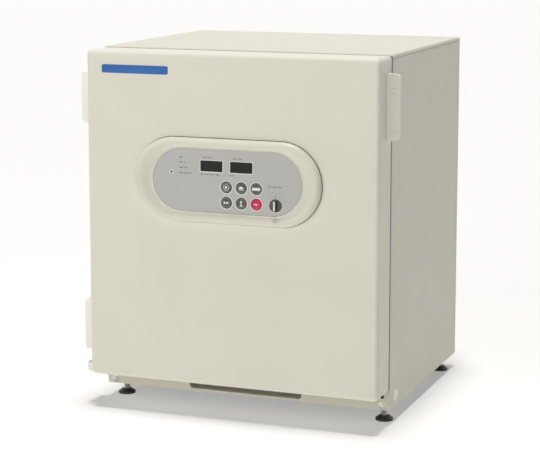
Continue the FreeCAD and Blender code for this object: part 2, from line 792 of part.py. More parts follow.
def shelf_supports():
    """Two ladder racks: uprights on the chamber walls and a ledge under each shelf side."""
    racks = []
    start = cabinet_front + rack_front
    end = duct_front - rack_back
    for sign in (-1, 1):
        wall = sign * chamber_half
        inner = sign * (chamber_half - rail_sheet)
        pieces = []
        for y in (start, (start + end - upright_width) / 2, end - upright_width):
            pieces.append(box((wall, inner), (y, y + upright_width),
                              (chamber_floor + chamber_radius, chamber_top - chamber_radius)))
        for z in shelf_heights():
            pieces.append(box((wall, sign * (chamber_half - rail_ledge)), (start, end),
                              (z - rail_sheet, z)))
            pieces.append(box((wall, inner), (start, end), (z - rail_sheet, z + shelf_lip + 4)))
        racks.append(fuse(*pieces))
    return racks


def shelf(height):
    """Perforated tray with a downturned lip at its front and upturned sides."""
    front = cabinet_front + shelf_setback
    back = front + shelf_depth
    clear = shelf_half - rail_sheet
    plate = box((-clear, clear), (front, back), (height, height + shelf_sheet))
    sides = [box((sign * clear, sign * (clear - shelf_sheet)), (front, back),
                 (height, height + shelf_lip)) for sign in (-1, 1)]
    rear = box((-clear, clear), (back - shelf_sheet, back), (height, height + shelf_lip))
    inset = chamber_half - rail_ledge - slide_clearance * 4
    lip = box((-inset, inset), (front, front + shelf_sheet), (height - shelf_lip, height))
    tray = fuse(plate, sides[0], sides[1], rear, lip)
    columns = int(2 * clear / shelf_slot_pitch_x)
    rows = int(shelf_depth / shelf_slot_pitch_y)
    for column in range(columns):
        for row in range(rows):
            x = (column - (columns - 1) / 2) * shelf_slot_pitch_x
            y = front + shelf_slot_margin + row * (shelf_depth - 2 * shelf_slot_margin) / (rows - 1)
            tray = tray.cut(slab("xy", (x, y), (shelf_slot_length, shelf_slot_width),
                                 shelf_slot_width / 2, (height - 1, height + 3)))
    return tray


def humidity_pan():
    """Open water tray on the chamber floor."""
    front = cabinet_front + shelf_setback
    back = front + shelf_depth - 10.0
    half = chamber_half - pan_side
    centre = (0, (front + back) / 2)
    size = (2 * half, back - front)
    outer = slab("xy", centre, size, pan_radius, (chamber_floor, chamber_floor + pan_height))
    inner_size = (size[0] - 2 * pan_wall, size[1] - 2 * pan_wall)
    inner = slab("xy", centre, inner_size, pan_radius - pan_wall,
                 (chamber_floor + pan_wall, chamber_floor + pan_height + 1))
    out = pan_rim - pan_wall
    rim = framed("xy", centre, (size[0] + 2 * out, size[1] + 2 * out), pan_radius + out, pan_rim,
                 (chamber_floor + pan_height - pan_wall, chamber_floor + pan_height))
    return fuse(outer.cut(inner), rim)


def duct_cover():
    """Cover over the circulation fan: inlet rings in the middle, outlets above and below."""
    centre = (0, chamber_floor + duct_bottom + duct_height / 2)
    outer = slab("xz", centre, (duct_width, duct_height), 8.0, (duct_front, chamber_back))
    inner = slab("xz", centre, (duct_width - 2 * chamber_sheet, duct_height - 2 * chamber_sheet), 7.0,
                 (duct_front + chamber_sheet, chamber_back + 1))
    cover = outer.cut(inner)
    cover = cover.cut(rod(duct_hole_radius, (0, duct_front - 1, fan_z), (0, duct_front + 3, fan_z)))
    for ring, count in ((15.0, 6), (28.0, 12), (41.0, 18)):
        for step in range(count):
            angle = 2 * math.pi * step / count
            x = ring * math.cos(angle)
            z = fan_z + ring * math.sin(angle)
            cover = cover.cut(rod(duct_hole_radius, (x, duct_front - 1, z), (x, duct_front + 3, z)))
    outlets = int((duct_width - duct_outlet[0]) / duct_outlet_pitch)
    for z in (centre[1] - duct_height / 2 + 22, centre[1] + duct_height / 2 - 22):
        for step in range(outlets):
            x = (step - (outlets - 1) / 2) * duct_outlet_pitch
            cover = cover.cut(slab("xz", (x, z), duct_outlet, duct_outlet[1] / 2,
                                   (duct_front - 1, duct_front + 3)))
    return cover


def impeller():
    """Blower wheel with its shaft: hub, back plate and straight blades."""
    back = chamber_back - 6.0
    front = back - impeller_width
    disc = rod(impeller_radius, (0, back - 1.5, fan_z), (0, back, fan_z))
    hub = rod(11.0, (0, front + 2, fan_z), (0, back, fan_z))
    shaft = rod(fan_shaft_radius, (0, front + 4, fan_z), (0, motor_front + 18.0, fan_z))
    wheel = fuse(disc, hub, shaft)
    for step in range(fan_blades):
        blade = box((18.0, impeller_radius - 1), (front, back - 1), (-0.8, 0.8))
        blade.rotate(V(0, 0, 0), V(0, 1, 0), 360.0 * step / fan_blades)
        blade.translate(V(0, 0, fan_z))
        wheel = wheel.fuse(blade)
    return wheel.removeSplitter()


def fan_motor():
    """Motor can behind the insulation, with its shaft tube and mounting ears."""
    back = motor_front + motor_length
    can = rod(motor_radius, (0, motor_front, fan_z), (0, back, fan_z))
    can = rounded(can, 3.0, lies_on(1, back))
    ears = slab("xz", (0, fan_z), (96.0, 22.0), 11.0, (motor_front - 1.0, motor_front + 2.0))
    neck = rod(motor_tube_radius, (0, chamber_back - 3.0, fan_z), (0, motor_front, fan_z))
    bore = rod(fan_shaft_radius + running_clearance, (0, chamber_back - 5.0, fan_z),
               (0, motor_front + 20.0, fan_z))
    return fuse(can, ears, neck).cut(bore)


def chamber_sensors():
    """Temperature probe and gas sensor head on stems through the back wall."""
    probes = []
    x = sensor_x
    for name, down in sensor_down.items():
        z = chamber_top - down
        tip = duct_front - 2.0
        stem = rod(sensor_radius, (x, tip, z), (x, cabinet_back + rear_pad + 8.0, z))
        nut = rod(sensor_radius + 4.0, (x, chamber_back - 4.0, z), (x, chamber_back, z))
        pieces = [stem, nut]
        if name == "gas":
            pieces.append(rod(sensor_radius + 5.0, (x, tip, z), (x, tip + 14.0, z)))
        probes.append(fuse(*pieces))
    return probes


# ---- outer door ----------------------------------------------------------------------------
def door_shell():
    """Painted door tray with soft front edges, open behind, with a return flange."""
    outer = slab("xz", (0, door_middle), (cabinet_width, door_height), door_corner_radius,
                 (door_face, shell_back))
    outer = rounded(outer, door_edge_radius, lies_on(1, door_face))
    inner = slab("xz", (0, door_middle), (cabinet_width - 2 * sheet, door_height - 2 * sheet),
                 door_corner_radius - sheet, (door_face + sheet, shell_back - sheet))
    inner = rounded(inner, door_edge_radius - sheet, lies_on(1, door_face + sheet))
    mouth = slab("xz", (0, door_middle), (cabinet_width - 24.0, door_height - 24.0), 4.0,
                 (shell_back - 3 * sheet, shell_back + 1))
    window = slab("xz", (panel_x, panel_z), panel_window(), 60.0, (door_face - 1, door_face + 3))
    return outer.cut(inner).cut(mouth).cut(window)


def panel_window():
    """Opening in the door face and bezel behind the overlay."""
    return overlay_width - 2 * overlay_seat, overlay_height - 2 * overlay_seat


def door_liner():
    """Moulded inner face of the door with the recess that clears the inner door."""
    width = cabinet_width - 2 * liner_inset
    height = door_height - 2 * liner_inset
    ring = slab("xz", (0, door_middle), (width, height), 6.0, (shell_back, liner_back))
    recess_middle = (recess_bottom + recess_top) / 2
    recess_size = (2 * recess_half_width, recess_top - recess_bottom)
    shell_size = (recess_size[0] + 2 * liner_wall, recess_size[1] + 2 * liner_wall)
    pan = slab("xz", (0, recess_middle), shell_size, 12.0 + liner_wall, (recess_shell, shell_back + 1))
    cavity = slab("xz", (0, recess_middle), recess_size, 12.0, (recess_floor, liner_back + 1))
    groove = gasket_ring(gasket_dart, (liner_back - gasket_groove, liner_back + 1))
    return fuse(ring, pan).cut(cavity).cut(groove)


def gasket_ring(width, y_span):
    """Ring of a given width on the gasket's centre line."""
    edge = gasket_width / 2 - width / 2
    outer_x = cabinet_width - 2 * gasket_inset - 2 * edge
    outer_z = gasket_top - gasket_bottom - 2 * edge
    return framed("xz", (0, (gasket_top + gasket_bottom) / 2), (outer_x, outer_z), 6.0, width, y_span)


def door_gasket():
    """Magnetic seal: a soft bead against the front frame and a dart in the liner's groove."""
    bead = gasket_ring(gasket_width, (liner_back, cabinet_front))
    dart = gasket_ring(gasket_dart, (liner_back - gasket_groove, liner_back))
    return fuse(bead, dart)


def door_insulation():
    """Foam that fills the door behind its face, clear of the recess and the control housing."""
    gap = sheet
    block = slab("xz", (0, door_middle), (cabinet_width - 2 * gap, door_height - 2 * gap),
                 door_corner_radius, (door_face + sheet, shell_back - sheet))
    block = rounded(block, door_edge_radius, lies_on(1, door_face + sheet))
    plug = slab("xz", (0, door_middle), (cabinet_width - 24.0, door_height - 24.0), 4.0,
                (shell_back - sheet, shell_back))
    recess_middle = (recess_bottom + recess_top) / 2
    recess = slab("xz", (0, recess_middle),
                  (2 * (recess_half_width + liner_wall), recess_top - recess_bottom + 2 * liner_wall),
                  12.0 + liner_wall, (recess_shell, shell_back + 1))
    return fuse(block, plug).cut(recess).cut(housing_space())


def housing_space():
    """Room that the control housing takes behind the door face."""
    back = door_face + sheet
    flange = slab("xz", (panel_x, panel_z), (tub_width + 2 * tub_flange, tub_height + 2 * tub_flange),
                  10.0, (back, back + plastic_wall))
    tub = slab("xz", (panel_x, panel_z), (tub_width, tub_height), 8.0, (back, back + tub_depth))
    return fuse(flange, tub)


def control_housing():
    """Plastic tub for the electronics behind the door face."""
    back = door_face + sheet
    cavity = slab("xz", (panel_x, panel_z), (tub_width - 2 * plastic_wall, tub_height - 2 * plastic_wall),
                  6.0, (back - 1, back + tub_depth - plastic_wall))
    housing = housing_space().cut(cavity)
    for x, z in board_posts():
        housing = fuse(housing, rod(board_post_radius, (x, board_back, z),
                                    (x, back + tub_depth - plastic_wall, z)))
    return housing


def board_posts():
    """Places of the four posts behind the control board."""
    half_x = board_width / 2 - board_post_in
    half_z = board_height / 2 - board_post_in
    return [(panel_x + sx * half_x, panel_z + sz * half_z) for sx in (-1, 1) for sz in (-1, 1)]


def button_places():
    """Centres of the six buttons, left to right, upper row first."""
    places = []
    for row in range(2):
        for column in range(3):
            x = panel_x + button_first_x + column * button_pitch_x
            z = panel_z + button_first_z - row * button_pitch_z
            places.append((x, z))
    return places


def display_places():
    """Centres of the two displays."""
    return [(panel_x + side * display_pitch / 2, panel_z + display_up) for side in (-1, 1)]


def control_board():
    """Circuit board with its display modules, push switches, selector switch and chips."""
    front = board_back - board_thickness
    pieces = [slab("xz", (panel_x, panel_z), (board_width, board_height), 3.0, (front, board_back))]
    for x, z in display_places():
        pieces.append(slab("xz", (x, z), (display_width + 4, display_height + 4), 1.0,
                           (overlay_back + 1.5, front)))
    for x, z in button_places():
        pieces.append(slab("xz", (x, z), (7.0, 7.0), 0.8, (switch_front(), front)))
    x, z = panel_x + knob_x, panel_z + knob_z
    pieces.append(slab("xz", (x, z), (16.0, 12.0), 1.0, (front - 3.0, front)))
    for offset, width in ((-70.0, 26.0), (-20.0, 18.0), (30.0, 34.0)):
        pieces.append(slab("xz", (panel_x + offset, panel_z - 6), (width, 16.0), 1.0,
                           (board_back, board_back + 4.0)))
    board = fuse(*pieces)
    shaft_space = rod(knob_shaft_radius + running_clearance, (x, front - 4, z), (x, board_back + 2, z))
    lamp = rod(lamp_radius - 0.4, (panel_x + lamp_x, overlay_back, panel_z + lamp_z),
               (panel_x + lamp_x, front, panel_z + lamp_z))
    return fuse(board.cut(shaft_space), lamp)


def switch_front():
    """Front of a push switch: the button reaches it at the end of its travel."""
    return button_tail() + button_travel


def button_tail():
    """Rear end of a button's stem at rest."""
    return overlay_back + 5.0


def panel_bezel():
    """Raised oval surround: a round crest near its edge that falls gently to the overlay."""
    centre = (panel_x, panel_z)
    outer = slab("xz", centre, (bezel_width, bezel_height), bezel_height / 2,
                 (door_face - bezel_rise, door_face))
    outer = rounded(outer, bezel_crest, lies_on(1, door_face - bezel_rise))
    inner_size = (overlay_width + 2 * overlay_fit, overlay_height + 2 * overlay_fit)
    wide_size = (bezel_width - 2 * bezel_crest - 3.0, bezel_height - 2 * bezel_crest - 3.0)
    low = outline("xz", centre, inner_size, inner_size[1] / 2, overlay_front)
    high = outline("xz", centre, wide_size, wide_size[1] / 2, door_face - bezel_rise - 0.01)
    slope = Part.makeLoft([low, high], True, True)
    seat = slab("xz", centre, inner_size, inner_size[1] / 2, (overlay_front - 0.01, overlay_back))
    window = slab("xz", centre, panel_window(), 60.0, (overlay_back - 1, door_face + 1))
    return outer.cut(slope).cut(seat).cut(window)


def panel_overlay():
    """Flat oval plate with holes for the displays, buttons, knob and lamp."""
    centre = (panel_x, panel_z)
    plate = slab("xz", centre, (overlay_width, overlay_height), overlay_height / 2,
                 (overlay_front, overlay_back))
    cut_span = (overlay_front - 1, overlay_back + 1)
    for place in display_places():
        plate = plate.cut(slab("xz", place, (display_width, display_height), 1.0, cut_span))
    for x, z in button_places():
        plate = plate.cut(rod(button_radius + slide_clearance, (x, cut_span[0], z), (x, cut_span[1], z)))
    x, z = panel_x + knob_x, panel_z + knob_z
    plate = plate.cut(rod(knob_shaft_radius + running_clearance, (x, cut_span[0], z), (x, cut_span[1], z)))
    x, z = panel_x + lamp_x, panel_z + lamp_z
    return plate.cut(rod(lamp_radius, (x, cut_span[0], z), (x, cut_span[1], z)))


def display_windows():
    """Smoked windows over the displays, and the round lens of the alarm lamp."""
    windows = []
    for place in display_places():
        front = slab("xz", place, (display_width, display_height), 1.0, (overlay_front - 0.4, overlay_back))
        flange = slab("xz", place, (display_width + 3, display_height + 3), 1.0,
                      (overlay_back, overlay_back + 1.5))
        windows.append(fuse(front, flange))
    x, z = panel_x + lamp_x, panel_z + lamp_z
    windows.append(rod(lamp_radius, (x, overlay_front - 0.4, z), (x, overlay_back, z)))
    return windows


def button(x, z):
    """Round push button: a cap through the overlay, a flange behind it and a stem."""
    cap_front = overlay_front - button_proud
    cap = rod(button_radius, (x, cap_front, z), (x, overlay_back, z))
    cap = rounded(cap, 0.8, lies_on(1, cap_front))
    flange = rod(button_radius + button_flange, (x, overlay_back, z), (x, overlay_back + 1.0, z))
    stem = rod(3.0, (x, overlay_back + 1.0, z), (x, button_tail(), z))
    return fuse(cap, flange, stem)


def selector_knob():
    """Round selector with a raised pointer bar and a shaft into its switch."""
    x, z = panel_x + knob_x, panel_z + knob_z
    skirt_front = overlay_front - 2.2
    skirt = rod(knob_radius, (x, skirt_front, z), (x, overlay_front - slide_clearance, z))
    skirt = rounded(skirt, 0.8, lies_on(1, skirt_front))
    bar = slab("xz", (x, z), (5.0, 2 * knob_radius - 3.0), 1.6, (front_y, skirt_front + 0.5))
    bar = rounded(bar, 1.0, lies_on(1, front_y))
    shaft = rod(knob_shaft_radius, (x, overlay_front - 1.0, z), (x, board_back - 0.5, z))
    return fuse(skirt, bar, shaft)


def door_handle():
    """Grip on the door's right side: a foot on the door and a wing that flares out and back."""
    root = door_face + handle_back
    low = handle_centre - handle_height / 2
    high = handle_centre + handle_height / 2
    side = half_width
    tip = half_width + side_overhang
    points = [
        (side, root - 2.0),
        (side + 1.5, root - 2.0),
        (tip - 0.8, root + 10.5),
        (tip, root + 12.3),
        (tip - 0.8, root + 14.2),
        (tip - 3.2, root + 13.7),
        (side + 3.5, root + 4.5),
        (side + 3.5, root + 13.0),
        (side, root + 13.0),
    ]
    body = profile("xy", points, (low, high))
    envelope = box((side - 1, tip + 1), (root - 30, root + 30), (low, high))
    outer_corners = both(runs_along(1), lambda edge: edge.Vertexes[0].X > tip)
    envelope = rounded(envelope, handle_corner_radius + 1, outer_corners)
    return body.common(envelope)


# ---- hinges --------------------------------------------------------------------------------
def knuckle(z_low, z_high):
    """Round knuckle on the outer hinge axis."""
    return rod(knuckle_radius, (hinge_x, hinge_y, z_low), (hinge_x, hinge_y, z_high))


def knuckle_levels(centre):
    """Bounds of the lower, middle and upper knuckles of one hinge."""
    length = (cover_height - 2 * cover_wall - 2.0) / 3
    low = centre - 1.5 * length
    return [(low + length * i + knuckle_gap / 2, low + length * (i + 1) - knuckle_gap / 2)
            for i in range(3)]


def cabinet_leaf(centre):
    """Leaf on the cabinet's side with the two end knuckles and the pin."""
    levels = knuckle_levels(centre)
    outer_x = -half_width - leaf_thickness
    plate = box((outer_x, -half_width), (hinge_y + knuckle_radius + 2, cabinet_front + cabinet_leaf_reach),
                (levels[0][0], levels[2][1]))
    pieces = [plate]
    for low, high in (levels[0], levels[2]):
        pieces.append(knuckle(low, high))
        pieces.append(box((outer_x, -half_width - 0.2), (hinge_y, cabinet_front + 4), (low, high)))
    leaf = fuse(*pieces)
    pin = rod(hinge_pin_radius, (hinge_x, hinge_y, levels[0][0]), (hinge_x, hinge_y, levels[2][1]))
    return fuse(leaf, pin)


def door_leaf(centre):
    """Leaf on the door's side with the middle knuckle."""
    levels = knuckle_levels(centre)
    outer_x = -half_width - leaf_thickness
    start = hinge_y - knuckle_radius - door_leaf_reach
    plate = box((outer_x, -half_width), (start, hinge_y - knuckle_radius - 2), (levels[0][0], levels[2][1]))
    low, high = levels[1]
    web = box((outer_x, -half_width), (start, hinge_y), (low, high))
    bore = rod(hinge_pin_radius + running_clearance, (hinge_x, hinge_y, low - 1), (hinge_x, hinge_y, high + 1))
    return fuse(plate, web, knuckle(low, high)).cut(bore)


def hinge_cover(centre):
    """Moulded cap over a hinge, open towards the cabinet."""
    low = centre - cover_height / 2
    high = centre + cover_height / 2
    side = -half_width
    tip = -half_width - side_overhang
    front = hinge_y - knuckle_radius - door_leaf_reach - 3.0
    rear = hinge_y - 1.5
    outer = profile("xy", [(side, front), (tip + 6.0, front), (tip, front + 6.0), (tip, rear), (side, rear)],
                    (low, high))
    outer = rounded(outer, 4.0, both(runs_along(2), lambda edge: edge.Vertexes[0].X < side - 1
                                     and edge.Vertexes[0].Y < rear - 1))
    corner = both(runs_along(1), lambda edge: edge.Vertexes[0].X < side - 1)
    outer = rounded(outer, 5.0, corner)
    inner = box((tip + cover_wall, side + 1), (front + cover_wall, rear + 1),
                (low + cover_wall, high - cover_wall))
    return outer.cut(inner)


def lower_pivot_arm():
    """Arm under the door's lower corner whose pin stands on the hinge axis."""
    top = door_bottom - pivot_plate_thickness - 0.5
    bottom = top - pivot_arm_thickness
    pad = rod(pivot_radius, (hinge_x, hinge_y, bottom), (hinge_x, hinge_y, top))
    arm = box((-half_width - 2 * pivot_radius, -half_width), (hinge_y, cabinet_front + 2.0), (bottom, top))
    bush_y, bush_z = side_plug_place()
    plate = box((-half_width - leaf_thickness, -half_width),
                (cabinet_front, cabinet_front + cabinet_leaf_reach), (bush_z - side_plug_stem, top))
    bush = rod(side_plug_stem, (-half_width - leaf_thickness, bush_y, bush_z),
               (-half_width + 3.0, bush_y, bush_z))
    pin = rod(hinge_pin_radius, (hinge_x, hinge_y, bottom), (hinge_x, hinge_y, door_bottom - 0.2))
    return fuse(pad, arm, plate, bush, pin)


def door_pivot_plate():
    """Plate under the door that turns on the arm's pin."""
    z_span = (door_bottom - pivot_plate_thickness, door_bottom)
    pad = rod(pivot_radius, (hinge_x, hinge_y, z_span[0]), (hinge_x, hinge_y, z_span[1]))
    plate = box((hinge_x, -half_width + 40.0), (hinge_y - pivot_radius, hinge_y + pivot_radius), z_span)
    bore = rod(hinge_pin_radius + running_clearance, (hinge_x, hinge_y, z_span[0] - 1),
               (hinge_x, hinge_y, z_span[1]))
    outer_x = -half_width - pivot_cap_out
    cap = box((outer_x, -half_width), (hinge_y - pivot_cap_depth, hinge_y),
              (z_span[0], door_bottom + pivot_cap_height))
    low_corner = both(lies_on(0, outer_x), lies_on(2, z_span[0]))
    cap = rounded(cap, edge_radius, low_corner)
    cap = rounded(cap, edge_radius, front_corner(outer_x, hinge_y - pivot_cap_depth))
    return fuse(pad, plate, cap).cut(bore)


# ---- inner door ----------------------------------------------------------------------------
def inner_glass():
    """Toughened glass pane."""
    pane = slab("xz", (0, chamber_middle), (2 * glass_half, glass_top - glass_bottom), 8.0,
                (glass_front, glass_back))
    return pane.cut(knob_hole())


def knob_hole():
    """Hole in the glass for the pull knob's screw."""
    x = glass_half - inner_knob_in
    return rod(2.5, (x, glass_front - 1, chamber_middle), (x, glass_back + 1, chamber_middle))


def inner_door_knob():
    """Turned pull knob with its screw and nut through the glass."""
    x = glass_half - inner_knob_in
    z = chamber_middle
    front = glass_front - 10.0
    head = rod(9.0, (x, front, z), (x, front + 5.0, z))
    head = rounded(head, 1.5, lies_on(1, front))
    neck = rod(6.0, (x, front + 5.0, z), (x, glass_front, z))
    screw = rod(2.5, (x, glass_front, z), (x, glass_back + 1.5, z))
    nut = rod(3.8, (x, glass_back, z), (x, glass_back + 2.5, z))
    return fuse(head, neck, screw, nut)


def inner_door_seal():
    """Silicone seal bonded round the back of the glass."""
    outer = (2 * (chamber_half + mouth_flange), chamber_height + 2 * mouth_flange)
    seal = framed("xz", (0, chamber_middle), outer, chamber_radius + mouth_flange, seal_width,
                  (glass_back, cabinet_front - chamber_sheet))
    return seal.cut(rod(4.6, (glass_half - inner_knob_in, glass_back - 1, chamber_middle),
                        (glass_half - inner_knob_in, glass_back + 3.2, chamber_middle)))


def inner_hinge_bracket(z):
    """Bracket on the front frame with the lower knuckle and the pin."""
    half = inner_hinge_height / 2
    low, high = z - half, z + half
    outer_x = inner_hinge_x - 8.0
    plate = box((outer_x, inner_hinge_x + 5.0), (cabinet_front - 2.0, cabinet_front), (low, high))
    post = box((inner_hinge_x - inner_knuckle_radius, inner_hinge_x + 1.0),
               (inner_hinge_y, cabinet_front), (low, z - knuckle_gap / 2))
    barrel = rod(inner_knuckle_radius, (inner_hinge_x, inner_hinge_y, low),
                 (inner_hinge_x, inner_hinge_y, z - knuckle_gap / 2))
    pin = rod(inner_pin_radius, (inner_hinge_x, inner_hinge_y, low), (inner_hinge_x, inner_hinge_y, high))
    return fuse(plate, post, barrel, pin)


def inner_door_hinge(z):
    """Clamp on the glass edge with the upper knuckle."""
    half = inner_hinge_height / 2
    low, high = z - half, z + half
    edge = -glass_half
    cheek = box((edge - 2.0, edge + 24.0), (glass_front - 2.0, glass_front), (low, high))
    wrap = box((edge - 2.0, edge), (glass_front - 2.0, glass_back), (low, high))
    web = box((inner_hinge_x, edge), (inner_hinge_y - 2.0, inner_hinge_y + 2.0), (z + knuckle_gap / 2, high))
    barrel = rod(inner_knuckle_radius, (inner_hinge_x, inner_hinge_y, z + knuckle_gap / 2),
                 (inner_hinge_x, inner_hinge_y, high))
    bore = rod(inner_pin_radius + running_clearance, (inner_hinge_x, inner_hinge_y, z),
               (inner_hinge_x, inner_hinge_y, high + 1))
    return fuse(cheek, wrap, web, barrel).cut(bore)


# ---- rear housing and what it holds --------------------------------------------------------
def rear_housing():
    """Folded box over the services, with louvres, a flange and holes for what comes out."""
    height = housing_top - housing_bottom
    middle = (housing_top + housing_bottom) / 2
    outer = slab("xz", (0, middle), (housing_width, height), housing_radius, (cabinet_back, housing_back))
    outer = rounded(outer, 3.0, lies_on(1, housing_back))
    inner = slab("xz", (0, middle), (housing_width - 2 * sheet, height - 2 * sheet),
                 housing_radius - sheet, (cabinet_back - 1, housing_back - sheet))
    flanges = slab("xz", (0, middle), (housing_width + 2 * housing_flange, height - 30.0), 2.0,
                   (cabinet_back, cabinet_back + sheet))
    housing = fuse(outer, flanges).cut(inner)
    for row in range(louvre_rows):
        for column in range(louvre_columns):
            x = 40.0 + (column - 1) * louvre_pitch[0]
            z = housing_top - 60.0 - louvre_pitch[1] * row
            housing = housing.cut(slab("xz", (x, z), louvre_size, louvre_size[1] / 2,
                                       (housing_back - 3, housing_back + 1)))
    inlet = slab("xz", (inlet_x, inlet_z), (inlet_width, inlet_height), 2.0,
                 (housing_back - 3, housing_back + 1))
    switch = slab("xz", (inlet_x, rocker_z), rocker_size, 1.0, (housing_back - 3, housing_back + 1))
    port = rod(port_bore + port_wall, (port_x, housing_back - 3, port_z), (port_x, housing_back + 1, port_z))
    housing = housing.cut(inlet).cut(switch).cut(port)
    side = -housing_width / 2
    for z in gas_heights:
        housing = housing.cut(rod(gas_shank_radius, (side - 1, service_y, z), (side + 3, service_y, z)))
    return housing


def power_inlet():
    """Mains inlet with its three blades in a recess, and the frame of the rocker switch."""
    face = housing_back + inlet_flange
    flange = slab("xz", (inlet_x, inlet_z), (inlet_width + 8, inlet_height + 4), 3.0, (housing_back, face))
    body = slab("xz", (inlet_x, inlet_z), (inlet_width, inlet_height), 2.0,
                (housing_back - inlet_depth, housing_back))
    recess = slab("xz", (inlet_x, inlet_z), socket_size, 2.0, (housing_back - socket_depth, face + 1))
    inlet = fuse(flange, body).cut(recess)
    for step, blade_up in ((-1, -1.5), (0, 2.5), (1, -1.5)):
        x, z = inlet_x + step * blade_pitch, inlet_z + blade_up
        blade = box((x - 1.0, x + 1.0), (housing_back - socket_depth - 1, housing_back - 2.0),
                    (z - 2.0, z + 2.0))
        inlet = fuse(inlet, blade)
    switch_flange = slab("xz", (inlet_x, rocker_z), (34.0, 26.0), 2.0, (housing_back, face))
    switch_body = slab("xz", (inlet_x, rocker_z), rocker_size, 1.0,
                       (housing_back - inlet_depth, housing_back))
    well = slab("xz", (inlet_x, rocker_z), (25.0, 17.0), 0.6, (housing_back - 12.0, face + 1))
    return [inlet, fuse(switch_flange, switch_body).cut(well)]


def power_rocker():
    """Rocker of the mains switch, at rest tilted to off."""
    half = 11.6
    points = [
        (-half, -6.0),
        (half, -6.0),
        (half, 4.6),
        (0.0, 2.6),
        (-half, 4.6),
    ]
    face = Part.Face(Part.makePolygon([V(a, b, -7.8) for a, b in points + points[:1]]))
    rocker = face.extrude(V(0, 0, 15.6))
    rocker.rotate(V(0, 0, 0), V(0, 0, 1), rocker_tilt)
    rocker.translate(V(inlet_x, rocker_pivot, rocker_z))
    return rocker


def gas_inlets():
    """Two hose nipples with their nuts on the housing's left side."""
    nipples = []
    side = -housing_width / 2
    for z in gas_heights:
        nut = rod(gas_nut_radius, (side - gas_nut, service_y, z), (side, service_y, z))
        shank = rod(gas_shank_radius, (side, service_y, z), (side + gas_shank, service_y, z))
        spigot = rod(barb_radius, (side - gas_nut - barb_length, service_y, z), (side, service_y, z))
        nipple = fuse(nut, shank, spigot)
        bore = rod(gas_bore, (side - gas_nut - barb_length - 1, service_y, z),
                   (side + gas_shank + 1, service_y, z))
        nipples.append(nipple.cut(bore))
    return nipples


def gas_unit():
    """Manifold block with two solenoid valves, on a foot against the insulation pad."""
    start = -housing_width / 2 + gas_shank
    middle = sum(gas_heights) / 2
    foot_end = cabinet_back + rear_pad + 4.0
    foot = slab("xz", (start + 32.0, middle), (62.0, 64.0), 2.0, (cabinet_back + rear_pad, foot_end))
    manifold = box((start, start + 20.0), (service_y - 10.0, service_y + 10.0), (middle - 28.0, middle + 28.0))
    stand = box((start + 2.0, start + 18.0), (foot_end, service_y), (middle - 20.0, middle + 20.0))
    pieces = [foot, manifold, stand]
    for z in gas_heights:
        pieces.append(rod(valve_radius, (start + 20.0, service_y, z), (start + 20.0 + valve_length, service_y, z)))
        pieces.append(rod(3.0, (start + 20.0 + valve_length, service_y, z),
                          (start + 26.0 + valve_length, service_y, z)))
    return fuse(*pieces)


def main_board():
    """Power board with its transformer and relays on posts."""
    base = cabinet_back + rear_pad
    middle_x, middle_z = inlet_x - 100.0, housing_bottom + 108.0
    front, back = base + 8.0, base + 8.0 + board_thickness
    pieces = [slab("xz", (middle_x, middle_z), (120.0, 150.0), 3.0, (front, back))]
    for sx in (-1, 1):
        for sz in (-1, 1):
            x, z = middle_x + sx * 52.0, middle_z + sz * 67.0
            pieces.append(rod(3.0, (x, base, z), (x, front, z)))
    pieces.append(slab("xz", (middle_x - 25.0, middle_z + 45.0), (52.0, 46.0), 4.0, (back, base + 38.0)))
    for step in range(3):
        x = middle_x - 38.0 + 30.0 * step
        pieces.append(slab("xz", (x, middle_z - 20.0), (20.0, 28.0), 1.5, (back, base + 26.0)))
    return fuse(*pieces)


def access_port_sleeve():
    """Tube from the chamber to the housing's back."""
    sleeve = tube(port_bore + port_wall, port_bore, (port_x, chamber_back - 4.0, port_z),
                  (port_x, housing_back + port_collar, port_z))
    collar = tube(port_bore + port_wall + 4.0, port_bore, (port_x, housing_back, port_z),
                  (port_x, housing_back + port_collar, port_z))
    return fuse(sleeve, collar)


def access_port_plug():
    """Soft stopper in the outer end of the access port."""
    end = housing_back + port_collar
    body = rod(port_bore - slide_clearance, (port_x, end - plug_length, port_z), (port_x, end, port_z))
    head = rod(port_bore + 3.0, (port_x, end, port_z), (port_x, housing_back + spacer_depth, port_z))
    head = rounded(head, 2.0, lies_on(1, housing_back + spacer_depth))
    return fuse(body, head)


def rear_spacers():
    """Four soft bumpers that keep the housing off a wall."""
    spacers = []
    for sx in (-1, 1):
        for z in (housing_bottom + 26.0, housing_top - 26.0):
            x = sx * (housing_width / 2 - 26.0)
            spacer = rod(9.0, (x, housing_back, z), (x, housing_back + spacer_depth, z))
            spacers.append(rounded(spacer, 2.0, lies_on(1, housing_back + spacer_depth)))
    return spacers


# ---- feet ----------------------------------------------------------------------------------
def foot(x, y):
    """Levelling foot: a soft-edged disc, a nut and a stem that screws into the cabinet."""
    disc = rod(foot_radius, (x, y, 0), (x, y, foot_disc))
    disc = rounded(disc, 1.5, lies_on(2, foot_disc))
    stem = rod(foot_stem_radius, (x, y, foot_disc), (x, y, cabinet_bottom + foot_stem_top))
    nut = rod(foot_nut_radius, (x, y, cabinet_bottom - foot_lock_nut), (x, y, cabinet_bottom))
    return fuse(disc, stem, nut)


